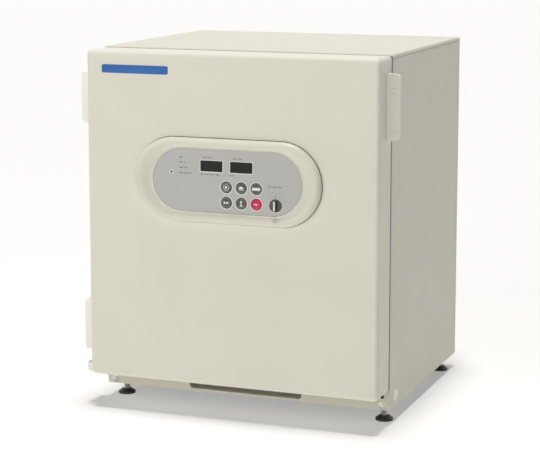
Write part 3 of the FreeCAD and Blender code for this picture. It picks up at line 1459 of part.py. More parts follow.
def main():
    """Build every node and write it."""
    os.makedirs("parts", exist_ok=True)
    right_panel = side_panel()
    left_panel = mirrored(right_panel)
    save("side_panel_left", screw_holes(left_panel))
    save("side_panel_right", screw_holes(right_panel))
    save("top_panel", screw_holes(top_panel()))
    save("back_panel", screw_holes(back_panel()))
    save("base_pan", screw_holes(base_pan()))
    save("front_rail", front_rail())
    bracket = corner_bracket()
    save("corner_brackets", mirrored(bracket), bracket)
    save("cabinet_screws", *cabinet_screws())
    save("side_plug", side_plug())
    save("front_frame", front_frame())
    save("inner_chamber", inner_chamber())
    save("chamber_heaters", *chamber_heaters())
    save("insulation", *[screw_holes(foam) for foam in insulation()])
    save("shelf_supports", *shelf_supports())
    save("duct_cover", duct_cover())
    save("chamber_sensors", *chamber_sensors())
    save("fan_motor", fan_motor())
    save("fan_impeller", impeller())
    save("rear_housing", screw_holes(rear_housing()))
    save("rear_spacers", *rear_spacers())
    save("main_board", main_board())
    save("gas_unit", gas_unit())
    save("gas_inlets", *gas_inlets())
    save("power_inlet", *power_inlet())
    save("power_rocker", power_rocker())
    save("access_port_sleeve", access_port_sleeve())
    save("access_port_plug", access_port_plug())
    for number, height in enumerate(shelf_heights(), 1):
        save("shelf_" + str(number), shelf(height))
    save("humidity_pan", humidity_pan())
    save("door_shell", door_shell())
    save("door_liner", door_liner())
    save("door_insulation", door_insulation())
    save("door_gasket", door_gasket())
    save("door_handle", door_handle())
    save("hinge_cabinet_leaves", *[cabinet_leaf(z) for z in hinge_heights], lower_pivot_arm())
    save("hinge_door_leaves", *[door_leaf(z) for z in hinge_heights], door_pivot_plate())
    save("hinge_covers", *[hinge_cover(z) for z in hinge_heights])
    save("control_housing", control_housing())
    save("control_board", control_board())
    save("panel_bezel", panel_bezel())
    save("panel_overlay", panel_overlay())
    save("display_windows", *display_windows())
    for number, (x, z) in enumerate(button_places(), 1):
        save("button_" + str(number), button(x, z))
    save("gas_selector_knob", selector_knob())
    save("inner_glass", inner_glass())
    save("inner_door_seal", inner_door_seal())
    save("inner_door_knob", inner_door_knob())
    save("inner_hinge_brackets", *[inner_hinge_bracket(z) for z in inner_hinge_heights])
    save("inner_door_hinges", *[inner_door_hinge(z) for z in inner_hinge_heights])
    for name, (x, y) in foot_places.items():
        save("foot_" + name, foot(x, y))


main()
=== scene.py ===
import json
import math

import bmesh
import bpy
from mathutils import Matrix, Vector


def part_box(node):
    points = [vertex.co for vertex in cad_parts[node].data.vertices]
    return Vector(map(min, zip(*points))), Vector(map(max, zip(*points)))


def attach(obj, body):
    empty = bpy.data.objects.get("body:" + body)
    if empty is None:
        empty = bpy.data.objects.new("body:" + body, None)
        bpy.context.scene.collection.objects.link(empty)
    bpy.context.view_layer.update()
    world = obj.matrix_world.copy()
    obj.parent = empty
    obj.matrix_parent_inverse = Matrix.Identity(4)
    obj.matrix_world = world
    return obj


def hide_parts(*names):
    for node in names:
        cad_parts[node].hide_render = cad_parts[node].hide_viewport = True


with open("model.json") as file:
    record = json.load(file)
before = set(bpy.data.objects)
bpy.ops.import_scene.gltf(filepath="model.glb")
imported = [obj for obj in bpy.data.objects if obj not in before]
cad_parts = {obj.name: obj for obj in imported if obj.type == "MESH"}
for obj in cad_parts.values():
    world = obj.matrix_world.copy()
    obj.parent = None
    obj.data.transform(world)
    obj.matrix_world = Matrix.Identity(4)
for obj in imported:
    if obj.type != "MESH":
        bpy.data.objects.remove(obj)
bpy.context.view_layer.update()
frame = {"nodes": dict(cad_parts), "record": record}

# Laboratory incubator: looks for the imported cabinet, door, control panel, chamber and fittings.
# Metres, +Z up, -Y is the front. Places are read from the frame's boxes.

MM = 0.001
FRONT = (0, -1, 0)
ink = 0.12 * MM                 # thickness of printed marks
merge = 0.002 * MM              # points nearer than this are one
same_plane = 0.01 * MM          # points nearer than this share a plane

# ---- where things are ----------------------------------------------------------------------
door_low, door_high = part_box("door_shell")
bezel_low, bezel_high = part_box("panel_bezel")
film_low, film_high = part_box("panel_overlay")
handle_low, handle_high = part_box("door_handle")
door_face = door_low.y
film_front = film_low.y
panel = (film_low + film_high) / 2


# ---- camera and studio ---------------------------------------------------------------------
camera_place = (1.0067, -2.7385, 0.7949)
camera_yaw = 20.78              # degrees, round to the handle side
camera_pitch = 8.51             # degrees, looking down
focal_length = 117.95
lens_drop = -0.1


def make_camera():
    """Camera a little above and to the right of the cabinet's front."""
    lens = bpy.data.cameras.new("camera")
    lens.lens = focal_length
    lens.shift_y = lens_drop
    lens.clip_end = 60
    camera = bpy.data.objects.new("camera", lens)
    bpy.context.scene.collection.objects.link(camera)
    camera.location = camera_place
    camera.rotation_euler = (math.radians(90 - camera_pitch), 0, math.radians(camera_yaw))
    bpy.context.scene.camera = camera


def soft_box(name, place, aim, size, power):
    """Square area light that looks at a point."""
    lamp = bpy.data.lights.new(name, "AREA")
    lamp.size = size
    lamp.energy = power
    light = bpy.data.objects.new(name, lamp)
    bpy.context.scene.collection.objects.link(light)
    light.location = place
    light.rotation_euler = (Vector(aim) - Vector(place)).to_track_quat("-Z", "Y").to_euler()


def ceiling_light(strength, spread):
    """Broad even light from straight above."""
    lamp = bpy.data.lights.new("ceiling", "SUN")
    lamp.energy = strength
    lamp.angle = math.radians(spread)
    light = bpy.data.objects.new("ceiling", lamp)
    bpy.context.scene.collection.objects.link(light)
    light.location = (0, 0, 3)


def make_studio():
    """White room: pale floor, a white backdrop, a dim fill all round and two soft lights."""
    world = bpy.data.worlds.new("studio")
    world.use_nodes = True
    tree = world.node_tree
    fill = tree.nodes["Background"]
    fill.inputs["Color"].default_value = linear("#FFF6EA")
    fill.inputs["Strength"].default_value = 0.075
    backdrop = add(tree, "ShaderNodeBackground", {"Color": (1, 1, 1, 1), "Strength": 1.0})
    path = add(tree, "ShaderNodeLightPath", {})
    mix = add(tree, "ShaderNodeMixShader", {}, {0: path.outputs["Is Diffuse Ray"],
                                                1: backdrop.outputs["Background"],
                                                2: fill.outputs["Background"]})
    tree.links.new(mix.outputs["Shader"], tree.nodes["World Output"].inputs["Surface"])
    bpy.context.scene.world = world
    bpy.context.scene.view_settings.view_transform = "Standard"
    ceiling_light(2.9, 14)
    soft_box("key", (-1.5, -3.6, 1.3), (0, 0, 0.3), 2.2, 52)
    bpy.ops.object.select_all(action="DESELECT")
    bpy.ops.mesh.primitive_plane_add(size=30)
    floor = bpy.context.object
    floor.name = "floor"
    floor.data.materials.append(studio_table())


# ---- modelling helpers ---------------------------------------------------------------------
def alone(piece):
    """Selects one piece and nothing else."""
    if bpy.context.object and bpy.context.object.mode == "EDIT":
        bpy.ops.object.mode_set(mode="OBJECT")
    bpy.ops.object.select_all(action="DESELECT")
    piece.select_set(True)
    bpy.context.view_layer.objects.active = piece


def begin(primitive, name, place, turn=(0, 0, 0), scale=(1, 1, 1), **options):
    """A primitive at its size and place, with its object back at the origin."""
    if bpy.context.object and bpy.context.object.mode == "EDIT":
        bpy.ops.object.mode_set(mode="OBJECT")
    bpy.ops.object.select_all(action="DESELECT")
    primitive(location=place, rotation=[math.radians(angle) for angle in turn], **options)
    piece = bpy.context.object
    piece.name = name
    piece.scale = scale
    bpy.ops.object.transform_apply(location=True, rotation=True, scale=True)
    return piece


def block(name, low, high):
    """Cube shaped to a lowest and a highest corner."""
    low, high = Vector(low), Vector(high)
    return begin(bpy.ops.mesh.primitive_cube_add, name, (low + high) / 2, size=1, scale=high - low)


def round_bar(name, radius, start, end, sides=48):
    """Cylinder from one point to another along an axis."""
    start, end = Vector(start), Vector(end)
    along = end - start
    piece = begin(bpy.ops.mesh.primitive_cylinder_add, name, (0, 0, 0), vertices=sides,
                  radius=radius, depth=along.length)
    piece.data.transform(along.to_track_quat("Z", "Y").to_matrix().to_4x4())
    alone(piece)
    bpy.ops.transform.translate(value=(start + end) / 2)
    bpy.ops.object.transform_apply(location=True, rotation=False, scale=False)
    return piece


def pick(piece, kind, wanted):
    """Goes into edit mode and selects the faces, edges or vertices for which wanted(part) holds."""
    if piece.mode != "EDIT":
        alone(piece)
        bpy.ops.object.mode_set(mode="EDIT")
    bpy.ops.mesh.select_mode(type=kind)
    bpy.ops.mesh.select_all(action="DESELECT")
    mesh = bmesh.from_edit_mesh(piece.data)
    parts = {"FACE": mesh.faces, "EDGE": mesh.edges, "VERT": mesh.verts}[kind]
    for part in parts:
        if wanted(part):
            part.select_set(True)
    mesh.select_flush_mode()
    bmesh.update_edit_mesh(piece.data)


def facing(direction, near=0.9):
    """Test for faces that look along a direction."""
    aim = Vector(direction)
    return lambda face: face.normal.dot(aim) > near


def runs_back(length):
    """Test for edges that run from front to back over more than a length."""
    return lambda edge: abs((edge.verts[0].co - edge.verts[1].co).y) > length


def middle(edge):
    """Point half way along an edge."""
    return (edge.verts[0].co + edge.verts[1].co) / 2


def soften(piece, width, segments=3, angle=30):
    """Sharp edges rounded to a radius."""
    alone(piece)
    bevel = piece.modifiers.new("soft edges", "BEVEL")
    bevel.width = width
    bevel.segments = segments
    bevel.limit_method = "ANGLE"
    bevel.angle_limit = math.radians(angle)
    bevel.use_clamp_overlap = True
    bpy.ops.object.modifier_apply(modifier=bevel.name)


def cut(piece, *tools):
    """Piece with each tool's shape taken out of it."""
    for tool in tools:
        alone(piece)
        boolean = piece.modifiers.new("cut", "BOOLEAN")
        boolean.operation = "DIFFERENCE"
        boolean.solver = "EXACT"
        boolean.object = tool
        bpy.ops.object.modifier_apply(modifier=boolean.name)
        bpy.data.objects.remove(tool)


def join(name, pieces):
    """Several pieces made one."""
    alone(pieces[0])
    for piece in pieces:
        piece.select_set(True)
    bpy.ops.object.join()
    pieces[0].name = name
    return pieces[0]


def copied(piece, name, shift):
    """Copy with its own mesh, moved."""
    other = bpy.data.objects.new(name, piece.data.copy())
    bpy.context.scene.collection.objects.link(other)
    alone(other)
    bpy.ops.transform.translate(value=shift)
    bpy.ops.object.transform_apply(location=True, rotation=False, scale=False)
    return other


def cleaned(node, name):
    """Copy of a CAD node whose triangles are merged into whole faces."""
    piece = bpy.data.objects.new(name, frame["nodes"][node].data.copy())
    bpy.context.scene.collection.objects.link(piece)
    piece.data.materials.clear()
    pick(piece, "FACE", lambda face: True)
    bpy.ops.mesh.remove_doubles(threshold=merge)
    bpy.ops.mesh.dissolve_limited(angle_limit=math.radians(0.5))
    bpy.ops.object.mode_set(mode="OBJECT")
    return piece


def finish(piece, body, slot, material, *nodes, angle=35):
    """Smooths a piece, gives it its finish and its body, and hides the nodes that it stands for."""
    alone(piece)
    bpy.ops.object.shade_smooth_by_angle(angle=math.radians(angle))
    piece.data.materials.clear()
    piece.data.materials.append(material)
    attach(piece, body)
    if nodes:
        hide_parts(*nodes)
    return piece


def solids(node):
    """Lowest and highest corner of each separate solid of a CAD node."""
    mesh = bmesh.new()
    mesh.from_mesh(frame["nodes"][node].data)
    bmesh.ops.remove_doubles(mesh, verts=mesh.verts, dist=merge)
    left = set(mesh.verts)
    boxes = []
    while left:
        found = [left.pop()]
        for vertex in found:
            for edge in vertex.link_edges:
                other = edge.other_vert(vertex)
                if other in left:
                    left.remove(other)
                    found.append(other)
        low = Vector([min(v.co[axis] for v in found) for axis in range(3)])
        high = Vector([max(v.co[axis] for v in found) for axis in range(3)])
        boxes.append((low, high))
    mesh.free()
    return sorted(boxes, key=lambda pair: tuple(round(value, 4) for value in pair[0]))


# ---- materials -----------------------------------------------------------------------------
def linear(hex_colour):
    """Linear red, green, blue and alpha of an sRGB hex colour."""
    values = [int(hex_colour[i:i + 2], 16) / 255 for i in (1, 3, 5)]
    return tuple(v / 12.92 if v <= 0.04045 else ((v + 0.055) / 1.055) ** 2.4 for v in values) + (1.0,)


def add(tree, kind, settings, feeds=()):
    """Adds a node: settings are socket values or properties, feeds are outputs for its sockets."""
    node = tree.nodes.new(kind)
    for name, value in settings.items():
        if isinstance(name, str) and name not in node.inputs:
            setattr(node, name, value)
    for name, value in settings.items():
        if not isinstance(name, str) or name in node.inputs:
            node.inputs[name].default_value = value
    for name, source in dict(feeds).items():
        tree.links.new(source, node.inputs[name])
    return node


def surface(name, colour, roughness, **shader):
    """A material with its shader set, its tree and its Object coordinates."""
    material = bpy.data.materials.new(name)
    material.use_nodes = True
    tree = material.node_tree
    bsdf = tree.nodes["Principled BSDF"]
    bsdf.inputs["Base Color"].default_value = linear(colour)
    bsdf.inputs["Roughness"].default_value = roughness
    for socket, value in shader.items():
        bsdf.inputs[socket.replace("_", " ")].default_value = value
    place = add(tree, "ShaderNodeTexCoord", {}).outputs["Object"]
    return material, tree, bsdf, place


def mottled(tree, bsdf, place, light, dark, size, share=0.5):
    """Base colour that drifts between two shades over patches of a size in metres."""
    noise = add(tree, "ShaderNodeTexNoise", {"Scale": 1 / size, "Detail": 3.0}, {"Vector": place})
    level = add(tree, "ShaderNodeMapRange", {"From Min": 0.3, "From Max": 0.7, "To Max": share},
                {"Value": noise.outputs["Fac"]})
    mix = add(tree, "ShaderNodeMix", {"data_type": "RGBA", 6: linear(light), 7: linear(dark)},
              {0: level.outputs["Result"]})
    tree.links.new(mix.outputs[2], bsdf.inputs["Base Color"])


def uneven_gloss(tree, bsdf, place, size, low, high):
    """Roughness that drifts between two values over patches of a size in metres."""
    noise = add(tree, "ShaderNodeTexNoise", {"Scale": 1 / size, "Detail": 4.0}, {"Vector": place})
    level = add(tree, "ShaderNodeMapRange", {"To Min": low, "To Max": high},
                {"Value": noise.outputs["Fac"]})
    tree.links.new(level.outputs["Result"], bsdf.inputs["Roughness"])


def grained(tree, bsdf, place, size, depth, strength=0.5):
    """Fine bumps of a size and depth in metres."""
    noise = add(tree, "ShaderNodeTexNoise", {"Scale": 1 / size, "Detail": 2.0}, {"Vector": place})
    bump = add(tree, "ShaderNodeBump", {"Strength": strength, "Distance": depth},
               {"Height": noise.outputs["Fac"]})
    tree.links.new(bump.outputs["Normal"], bsdf.inputs["Normal"])


def powder_coated_steel(name, colour, shade):
    """Baked powder coat: an even cream with a faint orange peel and soft, slightly uneven gloss."""
    material, tree, bsdf, place = surface(name, colour, 0.4)
    mottled(tree, bsdf, place, colour, shade, 90 * MM)
    uneven_gloss(tree, bsdf, place, 35 * MM, 0.34, 0.5)
    # the peel is about 1 mm on the real coat, and drawn at 2.5 mm so that it shows
    grained(tree, bsdf, place, 2.5 * MM, 0.03 * MM, 0.35)
    return material


def moulded_plastic(name, colour, shade, grain, roughness):
    """Injection-moulded plastic with a spark-eroded grain: matt, with softly spread highlights."""
    material, tree, bsdf, place = surface(name, colour, roughness, IOR=1.46)
    mottled(tree, bsdf, place, colour, shade, 25 * MM)
    uneven_gloss(tree, bsdf, place, 12 * MM, roughness - 0.07, roughness + 0.07)
    grained(tree, bsdf, place, grain, 0.02 * MM)
    return material


def brushed_stainless():
    """Rolled stainless sheet with a satin brush along its depth: long fine streaks, soft gloss."""
    material, tree, bsdf, place = surface("brushed_stainless", "#CFCFCC", 0.3, Metallic=1.0,
                                          Anisotropic=0.35)
    # brush lines are about 0.1 mm apart, drawn at 0.8 mm so that they show
    across, along = 1 / (0.8 * MM), 1 / (60 * MM)
    stretch = add(tree, "ShaderNodeMapping", {"Scale": (across, along, across)}, {"Vector": place})
    streaks = add(tree, "ShaderNodeTexNoise", {"Scale": 1.0, "Detail": 3.0},
                  {"Vector": stretch.outputs["Vector"]})
    gloss = add(tree, "ShaderNodeMapRange", {"To Min": 0.2, "To Max": 0.44},
                {"Value": streaks.outputs["Fac"]})
    tree.links.new(gloss.outputs["Result"], bsdf.inputs["Roughness"])
    tone = add(tree, "ShaderNodeMix", {"data_type": "RGBA", 6: linear("#D6D6D3"), 7: linear("#B9B9B6")},
               {0: streaks.outputs["Fac"]})
    tree.links.new(tone.outputs[2], bsdf.inputs["Base Color"])
    bump = add(tree, "ShaderNodeBump", {"Strength": 0.3, "Distance": 0.01 * MM},
               {"Height": streaks.outputs["Fac"]})
    tree.links.new(bump.outputs["Normal"], bsdf.inputs["Normal"])
    return material


def plated_steel(name, light, dark, crystal):
    """Zinc-plated steel: a bright grey with faint crystal patches that differ in tone."""
    material, tree, bsdf, place = surface(name, light, 0.36, Metallic=1.0)
    cells = add(tree, "ShaderNodeTexVoronoi", {"Scale": 1 / crystal}, {"Vector": place})
    tone = add(tree, "ShaderNodeMix", {"data_type": "RGBA", 6: linear(light), 7: linear(dark)},
               {0: cells.outputs["Distance"]})
    tree.links.new(tone.outputs[2], bsdf.inputs["Base Color"])
    uneven_gloss(tree, bsdf, place, 4 * MM, 0.26, 0.46)
    grained(tree, bsdf, place, 0.8 * MM, 0.01 * MM)
    return material


def poured_foam():
    """Polyurethane foam: pale yellow, matt, with closed cells that read as fine pits."""
    material, tree, bsdf, place = surface("polyurethane_foam", "#E6D9A6", 0.95, IOR=1.4)
    mottled(tree, bsdf, place, "#E9DDAE", "#D2C084", 14 * MM, 0.8)
    cells = add(tree, "ShaderNodeTexVoronoi", {"Scale": 1 / (1.6 * MM)}, {"Vector": place})
    bump = add(tree, "ShaderNodeBump", {"Strength": 0.7, "Distance": 0.4 * MM},
               {"Height": cells.outputs["Distance"]})
    tree.links.new(bump.outputs["Normal"], bsdf.inputs["Normal"])
    return material


def heater_film():
    """Silicone heater mat: brick orange, with a darker conductor track every 6 mm."""
    material, tree, bsdf, place = surface("silicone_heater_mat", "#B4582A", 0.5, IOR=1.42)
    tracks = add(tree, "ShaderNodeTexWave", {"Scale": 0.314 / (6 * MM), "Distortion": 0.4},
                 {"Vector": place})
    tone = add(tree, "ShaderNodeMix", {"data_type": "RGBA", 6: linear("#B4582A"), 7: linear("#6E3318")},
               {0: tracks.outputs["Fac"]})
    tree.links.new(tone.outputs[2], bsdf.inputs["Base Color"])
    grained(tree, bsdf, place, 0.7 * MM, 0.05 * MM)
    return material


def toughened_glass():
    """Float glass: clear, with a faint green body and a very slight smear in its gloss."""
    material, tree, bsdf, place = surface("toughened_glass", "#EDF6F2", 0.02, IOR=1.52)
    bsdf.inputs["Transmission Weight"].default_value = 1.0
    uneven_gloss(tree, bsdf, place, 60 * MM, 0.0, 0.06)
    return material


def soft_rubber(name, colour, shade, roughness, grain):
    """Elastomer: matt, deep in tone, with a dusty bloom and a skin-like fine grain."""
    material, tree, bsdf, place = surface(name, colour, roughness, IOR=1.5)
    mottled(tree, bsdf, place, colour, shade, 9 * MM, 0.7)
    uneven_gloss(tree, bsdf, place, 6 * MM, roughness - 0.08, roughness + 0.1)
    grained(tree, bsdf, place, grain, 0.04 * MM)
    return material


def smoked_acrylic():
    """Dark tinted acrylic: near black, glassy, with the faintest haze."""
    material, tree, bsdf, place = surface("smoked_acrylic", "#211F1C", 0.1, IOR=1.49)
    bsdf.inputs["Specular IOR Level"].default_value = 0.2
    mottled(tree, bsdf, place, "#1D1B18", "#151311", 10 * MM)
    uneven_gloss(tree, bsdf, place, 8 * MM, 0.06, 0.16)
    return material


def solder_masked_board():
    """Glass-epoxy board: green lacquer over copper tracks that show as lighter lines."""
    material, tree, bsdf, place = surface("solder_masked_board", "#1E5A36", 0.35, IOR=1.55)
    tracks = add(tree, "ShaderNodeTexBrick",
                 {"Scale": 1 / (20 * MM), "Mortar Size": 0.03, "Color1": linear("#1E5A36"),
                  "Color2": linear("#1A5131"), "Mortar": linear("#3E8657")}, {"Vector": place})
    tree.links.new(tracks.outputs["Color"], bsdf.inputs["Base Color"])
    grained(tree, bsdf, place, 1.2 * MM, 0.03 * MM)
    return material


def printed_ink(name, colour, shade):
    """Screen-printed ink: flat and matt, with slightly uneven cover."""
    material, tree, bsdf, place = surface(name, colour, 0.55)
    mottled(tree, bsdf, place, colour, shade, 2 * MM)
    uneven_gloss(tree, bsdf, place, 1.5 * MM, 0.48, 0.62)
    return material


def studio_table():
    """White acrylic table lit faintly from below, so that what stands on it casts a pale shadow."""
    material, tree, bsdf, place = surface("opal_acrylic", "#D2D2D0", 0.9)
    bsdf.inputs["Emission Color"].default_value = (1, 1, 1, 1)
    bsdf.inputs["Emission Strength"].default_value = 0.28
    mottled(tree, bsdf, place, "#D2D2D0", "#D0D0CE", 0.6)
    return material


def make_materials():
    """One finish for each slot of the record, and the inks that only this script adds."""
    return {
        # the cabinet's cream is a darker copy of the door's same paint: painted shade, so the side
        # panels read darker than the front
        "cabinet_coat": powder_coated_steel("powder_coated_steel_cabinet_shaded", "#D5D0C0", "#CFCAB9"),
        "door_coat": powder_coated_steel("powder_coated_steel_door", "#DFDCCE", "#DAD7C7"),
        "frame_plastic": moulded_plastic("abs_frame", "#DCD9CD", "#D4D0C2", 0.5 * MM, 0.5),
        "liner_plastic": moulded_plastic("hips_liner", "#E4E1D7", "#DAD6CA", 0.8 * MM, 0.42),
        "stainless": brushed_stainless(),
        "zinc_steel": plated_steel("zinc_plated_steel", "#C9C9C4", "#A9A9A3", 3 * MM),
        "screw_steel": plated_steel("nickel_plated_screw", "#D5D3CC", "#B3B1AA", 1.5 * MM),
        "foam": poured_foam(),
        "heater_foil": heater_film(),
        "clear_glass": toughened_glass(),
        "gasket_rubber": soft_rubber("pvc_gasket", "#33312C", "#2A2824", 0.6, 0.6 * MM),
        "silicone": soft_rubber("silicone_rubber", "#E2E0DA", "#D3D0C8", 0.45, 0.5 * MM),
        "grip_plastic": moulded_plastic("abs_grip", "#F3F0E4", "#ECE8DA", 0.6 * MM, 0.42),
        "bezel_plastic": moulded_plastic("abs_bezel", "#DAD7C9", "#D3CFBF", 0.6 * MM, 0.36),
        "overlay_film": moulded_plastic("polycarbonate_film", "#BBB9B4", "#B6B4AF", 0.4 * MM, 0.45),
        "smoked_window": smoked_acrylic(),
        "key_grey": moulded_plastic("polyester_key_grey", "#4B4843", "#423F3A", 0.4 * MM, 0.45),
        "key_red": moulded_plastic("polyester_key_red", "#C4124B", "#B50F44", 0.4 * MM, 0.42),
        "black_plastic": moulded_plastic("nylon_black", "#2A2927", "#1F1E1D", 0.5 * MM, 0.5),
        "circuit_board": solder_masked_board(),
        "motor_metal": plated_steel("cast_aluminium", "#C4C6C8", "#A8AAAC", 2 * MM),
        "nickel_brass": plated_steel("nickel_plated_brass", "#CFC7AE", "#B0A78C", 2 * MM),
        "foot_plastic": soft_rubber("polyamide_foot", "#1F1F1E", "#151514", 0.45, 0.6 * MM),
        # grey of the finger pocket's lining: painted shade for the pocket under the door
        "pocket_shade_grey": moulded_plastic("polypropylene_pocket_shade", "#848177", "#7A776D", 0.5 * MM, 0.5),
        "white_ink": printed_ink("white_ink", "#EDEBE4", "#DFDCD3"),
        "grey_ink": printed_ink("grey_ink", "#6B6964", "#5E5C57"),
        "blue_ink": printed_ink("blue_ink", "#1F5FA8", "#1A5597"),
    }


finishes = {}


def coat_cad_nodes():
    """Every CAD node keeps its shape and gets its slot's finish."""
    for part in frame["record"]["subparts"]:
        mesh = frame["nodes"][part["node"]].data
        mesh.materials.clear()
        mesh.materials.append(finishes[part["material_slot"]])


# ---- control panel -------------------------------------------------------------------------
def oval_face(name, width, height, y, sides=128):
    """Flat oval with straight top and bottom, facing the front."""
    radius = height / 2
    piece = begin(bpy.ops.mesh.primitive_circle_add, name, (panel.x, y, panel.z),
                  turn=(90, 180 / sides, 0), vertices=sides, radius=radius, fill_type="NGON")
    for side in (-1, 1):
        pick(piece, "VERT", lambda vertex: (vertex.co.x - panel.x) * side > 0)
        bpy.ops.transform.translate(value=(side * (width / 2 - radius), 0, 0))
    bpy.ops.object.mode_set(mode="OBJECT")
    return piece


def bezel_surround():
    """Raised oval surround: round crest by its rim, then a gentle fall to a bead round the film."""
    size = bezel_high - bezel_low
    film = film_high - film_low
    rise = size.y
    crest = 7.0 * MM
    low_rise = door_face - film_front
    fit = 0.6 * MM
    inner = (film.x + fit, film.z + fit)
    top = (size.x - 2 * crest, size.z - 2 * crest)
    rings = [(size.x, size.z, 0.0)]
    for step in range(9):
        angle = math.pi / 2 * step / 8
        inset = crest * (1 - math.cos(angle))
        rings.append((size.x - 2 * inset, size.z - 2 * inset, rise - crest + crest * math.sin(angle)))
    bead = 3.0 * MM
    foot = (inner[0] + bead, inner[1] + bead)
    for step in range(1, 13):
        share = step / 12
        ease = share * share * (3 - 2 * share)
        rings.append((top[0] + (foot[0] - top[0]) * share, top[1] + (foot[1] - top[1]) * share,
                      rise + (low_rise - 0.3 * MM - rise) * ease))
    rings.append((inner[0] + bead * 0.7, inner[1] + bead * 0.7, low_rise + 0.35 * MM))
    rings.append((inner[0] + bead * 0.3, inner[1] + bead * 0.3, low_rise + 0.35 * MM))
    rings.append((inner[0], inner[1], low_rise - 0.2 * MM))
    rings.append((inner[0], inner[1], 0.3 * MM))
    piece = swept_ovals("bezel_surround", rings)
    finish(piece, "outer_door", "bezel_plastic", finishes["bezel_plastic"], "panel_bezel", angle=60)
    # thin dark ring round the bezel: painted shadow line where the bezel stands off the door, drawn as a
    # rubber seal
    gap = 1.6 * MM
    outline = swept_ovals("bezel_shadow_seal", [(size.x + gap, size.z + gap, 0.0),
                                         (size.x + gap, size.z + gap, 0.5 * MM),
                                         (size.x - gap, size.z - gap, 0.5 * MM),
                                         (size.x - gap, size.z - gap, 0.0)])
    finish(outline, "outer_door", "gasket_rubber", finishes["gasket_rubber"])


def swept_ovals(name, rings):
    """Closed band whose cross section runs through ovals given as width, height and rise."""
    piece = oval_face(name, rings[0][0], rings[0][1], door_face - rings[0][2])
    for before, after in zip(rings, rings[1:]):
        pick(piece, "FACE", lambda face: len(face.verts) > 4)
        bpy.ops.mesh.extrude_region_move(TRANSFORM_OT_translate={"value": (0, before[2] - after[2], 0)})
        scale = after[1] / before[1]
        bpy.ops.transform.resize(value=(scale, 1, scale), center_override=(panel.x, 0, panel.z))
        step = (after[0] - before[0] * scale) / 2
        face = front_loop(piece)
        for side in (-1, 1):
            pick(piece, "VERT", lambda vertex: vertex.index in face
                 and (vertex.co.x - panel.x) * side > 0)
            bpy.ops.transform.translate(value=(side * step, 0, 0))
    pick(piece, "FACE", lambda face: len(face.verts) > 4)
    bpy.ops.mesh.delete(type="FACE")
    bpy.ops.mesh.select_mode(type="EDGE")
    bpy.ops.mesh.select_all(action="DESELECT")
    bpy.ops.mesh.select_non_manifold(extend=False)
    bpy.ops.mesh.bridge_edge_loops()
    bpy.ops.mesh.select_all(action="SELECT")
    bpy.ops.mesh.normals_make_consistent(inside=False)
    bpy.ops.object.mode_set(mode="OBJECT")
    return piece


def front_loop(piece):
    """Indices of the corners of a piece's one many-sided face."""
    mesh = bmesh.from_edit_mesh(piece.data)
    return {vertex.index for face in mesh.faces if len(face.verts) > 4 for vertex in face.verts}


def raise_ink(piece, thickness=ink):
    """Gives a flat outline that faces the front its small thickness."""
    pick(piece, "FACE", lambda face: True)
    bpy.ops.mesh.extrude_region_move(TRANSFORM_OT_translate={"value": (0, -thickness, 0)})
    bpy.ops.mesh.select_all(action="SELECT")
    bpy.ops.mesh.normals_make_consistent(inside=False)
    bpy.ops.object.mode_set(mode="OBJECT")
    return piece


def ink_bar(x, z, width, height, y):
    """Small printed rectangle."""
    piece = begin(bpy.ops.mesh.primitive_plane_add, "bar", (x, y, z), turn=(90, 0, 0), size=1)
    piece.data.transform(stretch_about(x, z, width, height))
    return raise_ink(piece)


def stretch_about(x, z, width, height):
    """Matrix that scales in x and z about a point."""
    move = Matrix.Translation((x, 0, z))
    return move @ Matrix.Diagonal((width, 1, height, 1)) @ move.inverted()


def ink_disc(x, z, radius, y, sides=32, turn=0):
    """Small printed disc, or a triangle with three sides."""
    piece = begin(bpy.ops.mesh.primitive_circle_add, "disc", (x, y, z), turn=(90, turn, 0),
                  vertices=sides, radius=radius, fill_type="NGON")
    return raise_ink(piece)


def ink_ring(x, z, outer, width, y, sides=48):
    """Small printed ring."""
    piece = begin(bpy.ops.mesh.primitive_circle_add, "ring", (x, y, z), turn=(90, 0, 0),
                  vertices=sides, radius=outer, fill_type="NGON")
    pick(piece, "FACE", lambda face: True)
    bpy.ops.mesh.inset(thickness=width, depth=0)
    pick(piece, "FACE", lambda face: len(face.verts) > 4)
    bpy.ops.mesh.delete(type="FACE")
    return raise_ink(piece)


def ink_frame(x, z, width, height, line, y):
    """Small printed rectangle outline."""
    piece = begin(bpy.ops.mesh.primitive_plane_add, "frame", (x, y, z), turn=(90, 0, 0), size=1)
    piece.data.transform(stretch_about(x, z, width, height))
    pick(piece, "FACE", lambda face: True)
    bpy.ops.mesh.inset(thickness=line, depth=0)
    pick(piece, "FACE", lambda face: face.calc_area() > (width - 3 * line) * (height - 3 * line))
    bpy.ops.mesh.delete(type="FACE")
    return raise_ink(piece)


def ticks(x, z, length, height, y):
    """A row of plain short strokes where a caption would be."""
    stroke, gap = 1.1 * MM, 0.6 * MM
    count = max(1, round(length / (stroke + gap)))
    bars = []
    for index in range(count):
        if index % 5 != 4:
            tall = height * (1.0 if index % 3 else 0.7)
            bars.append(ink_bar(x + stroke / 2 + index * (stroke + gap), z, stroke, tall, y))
    return bars


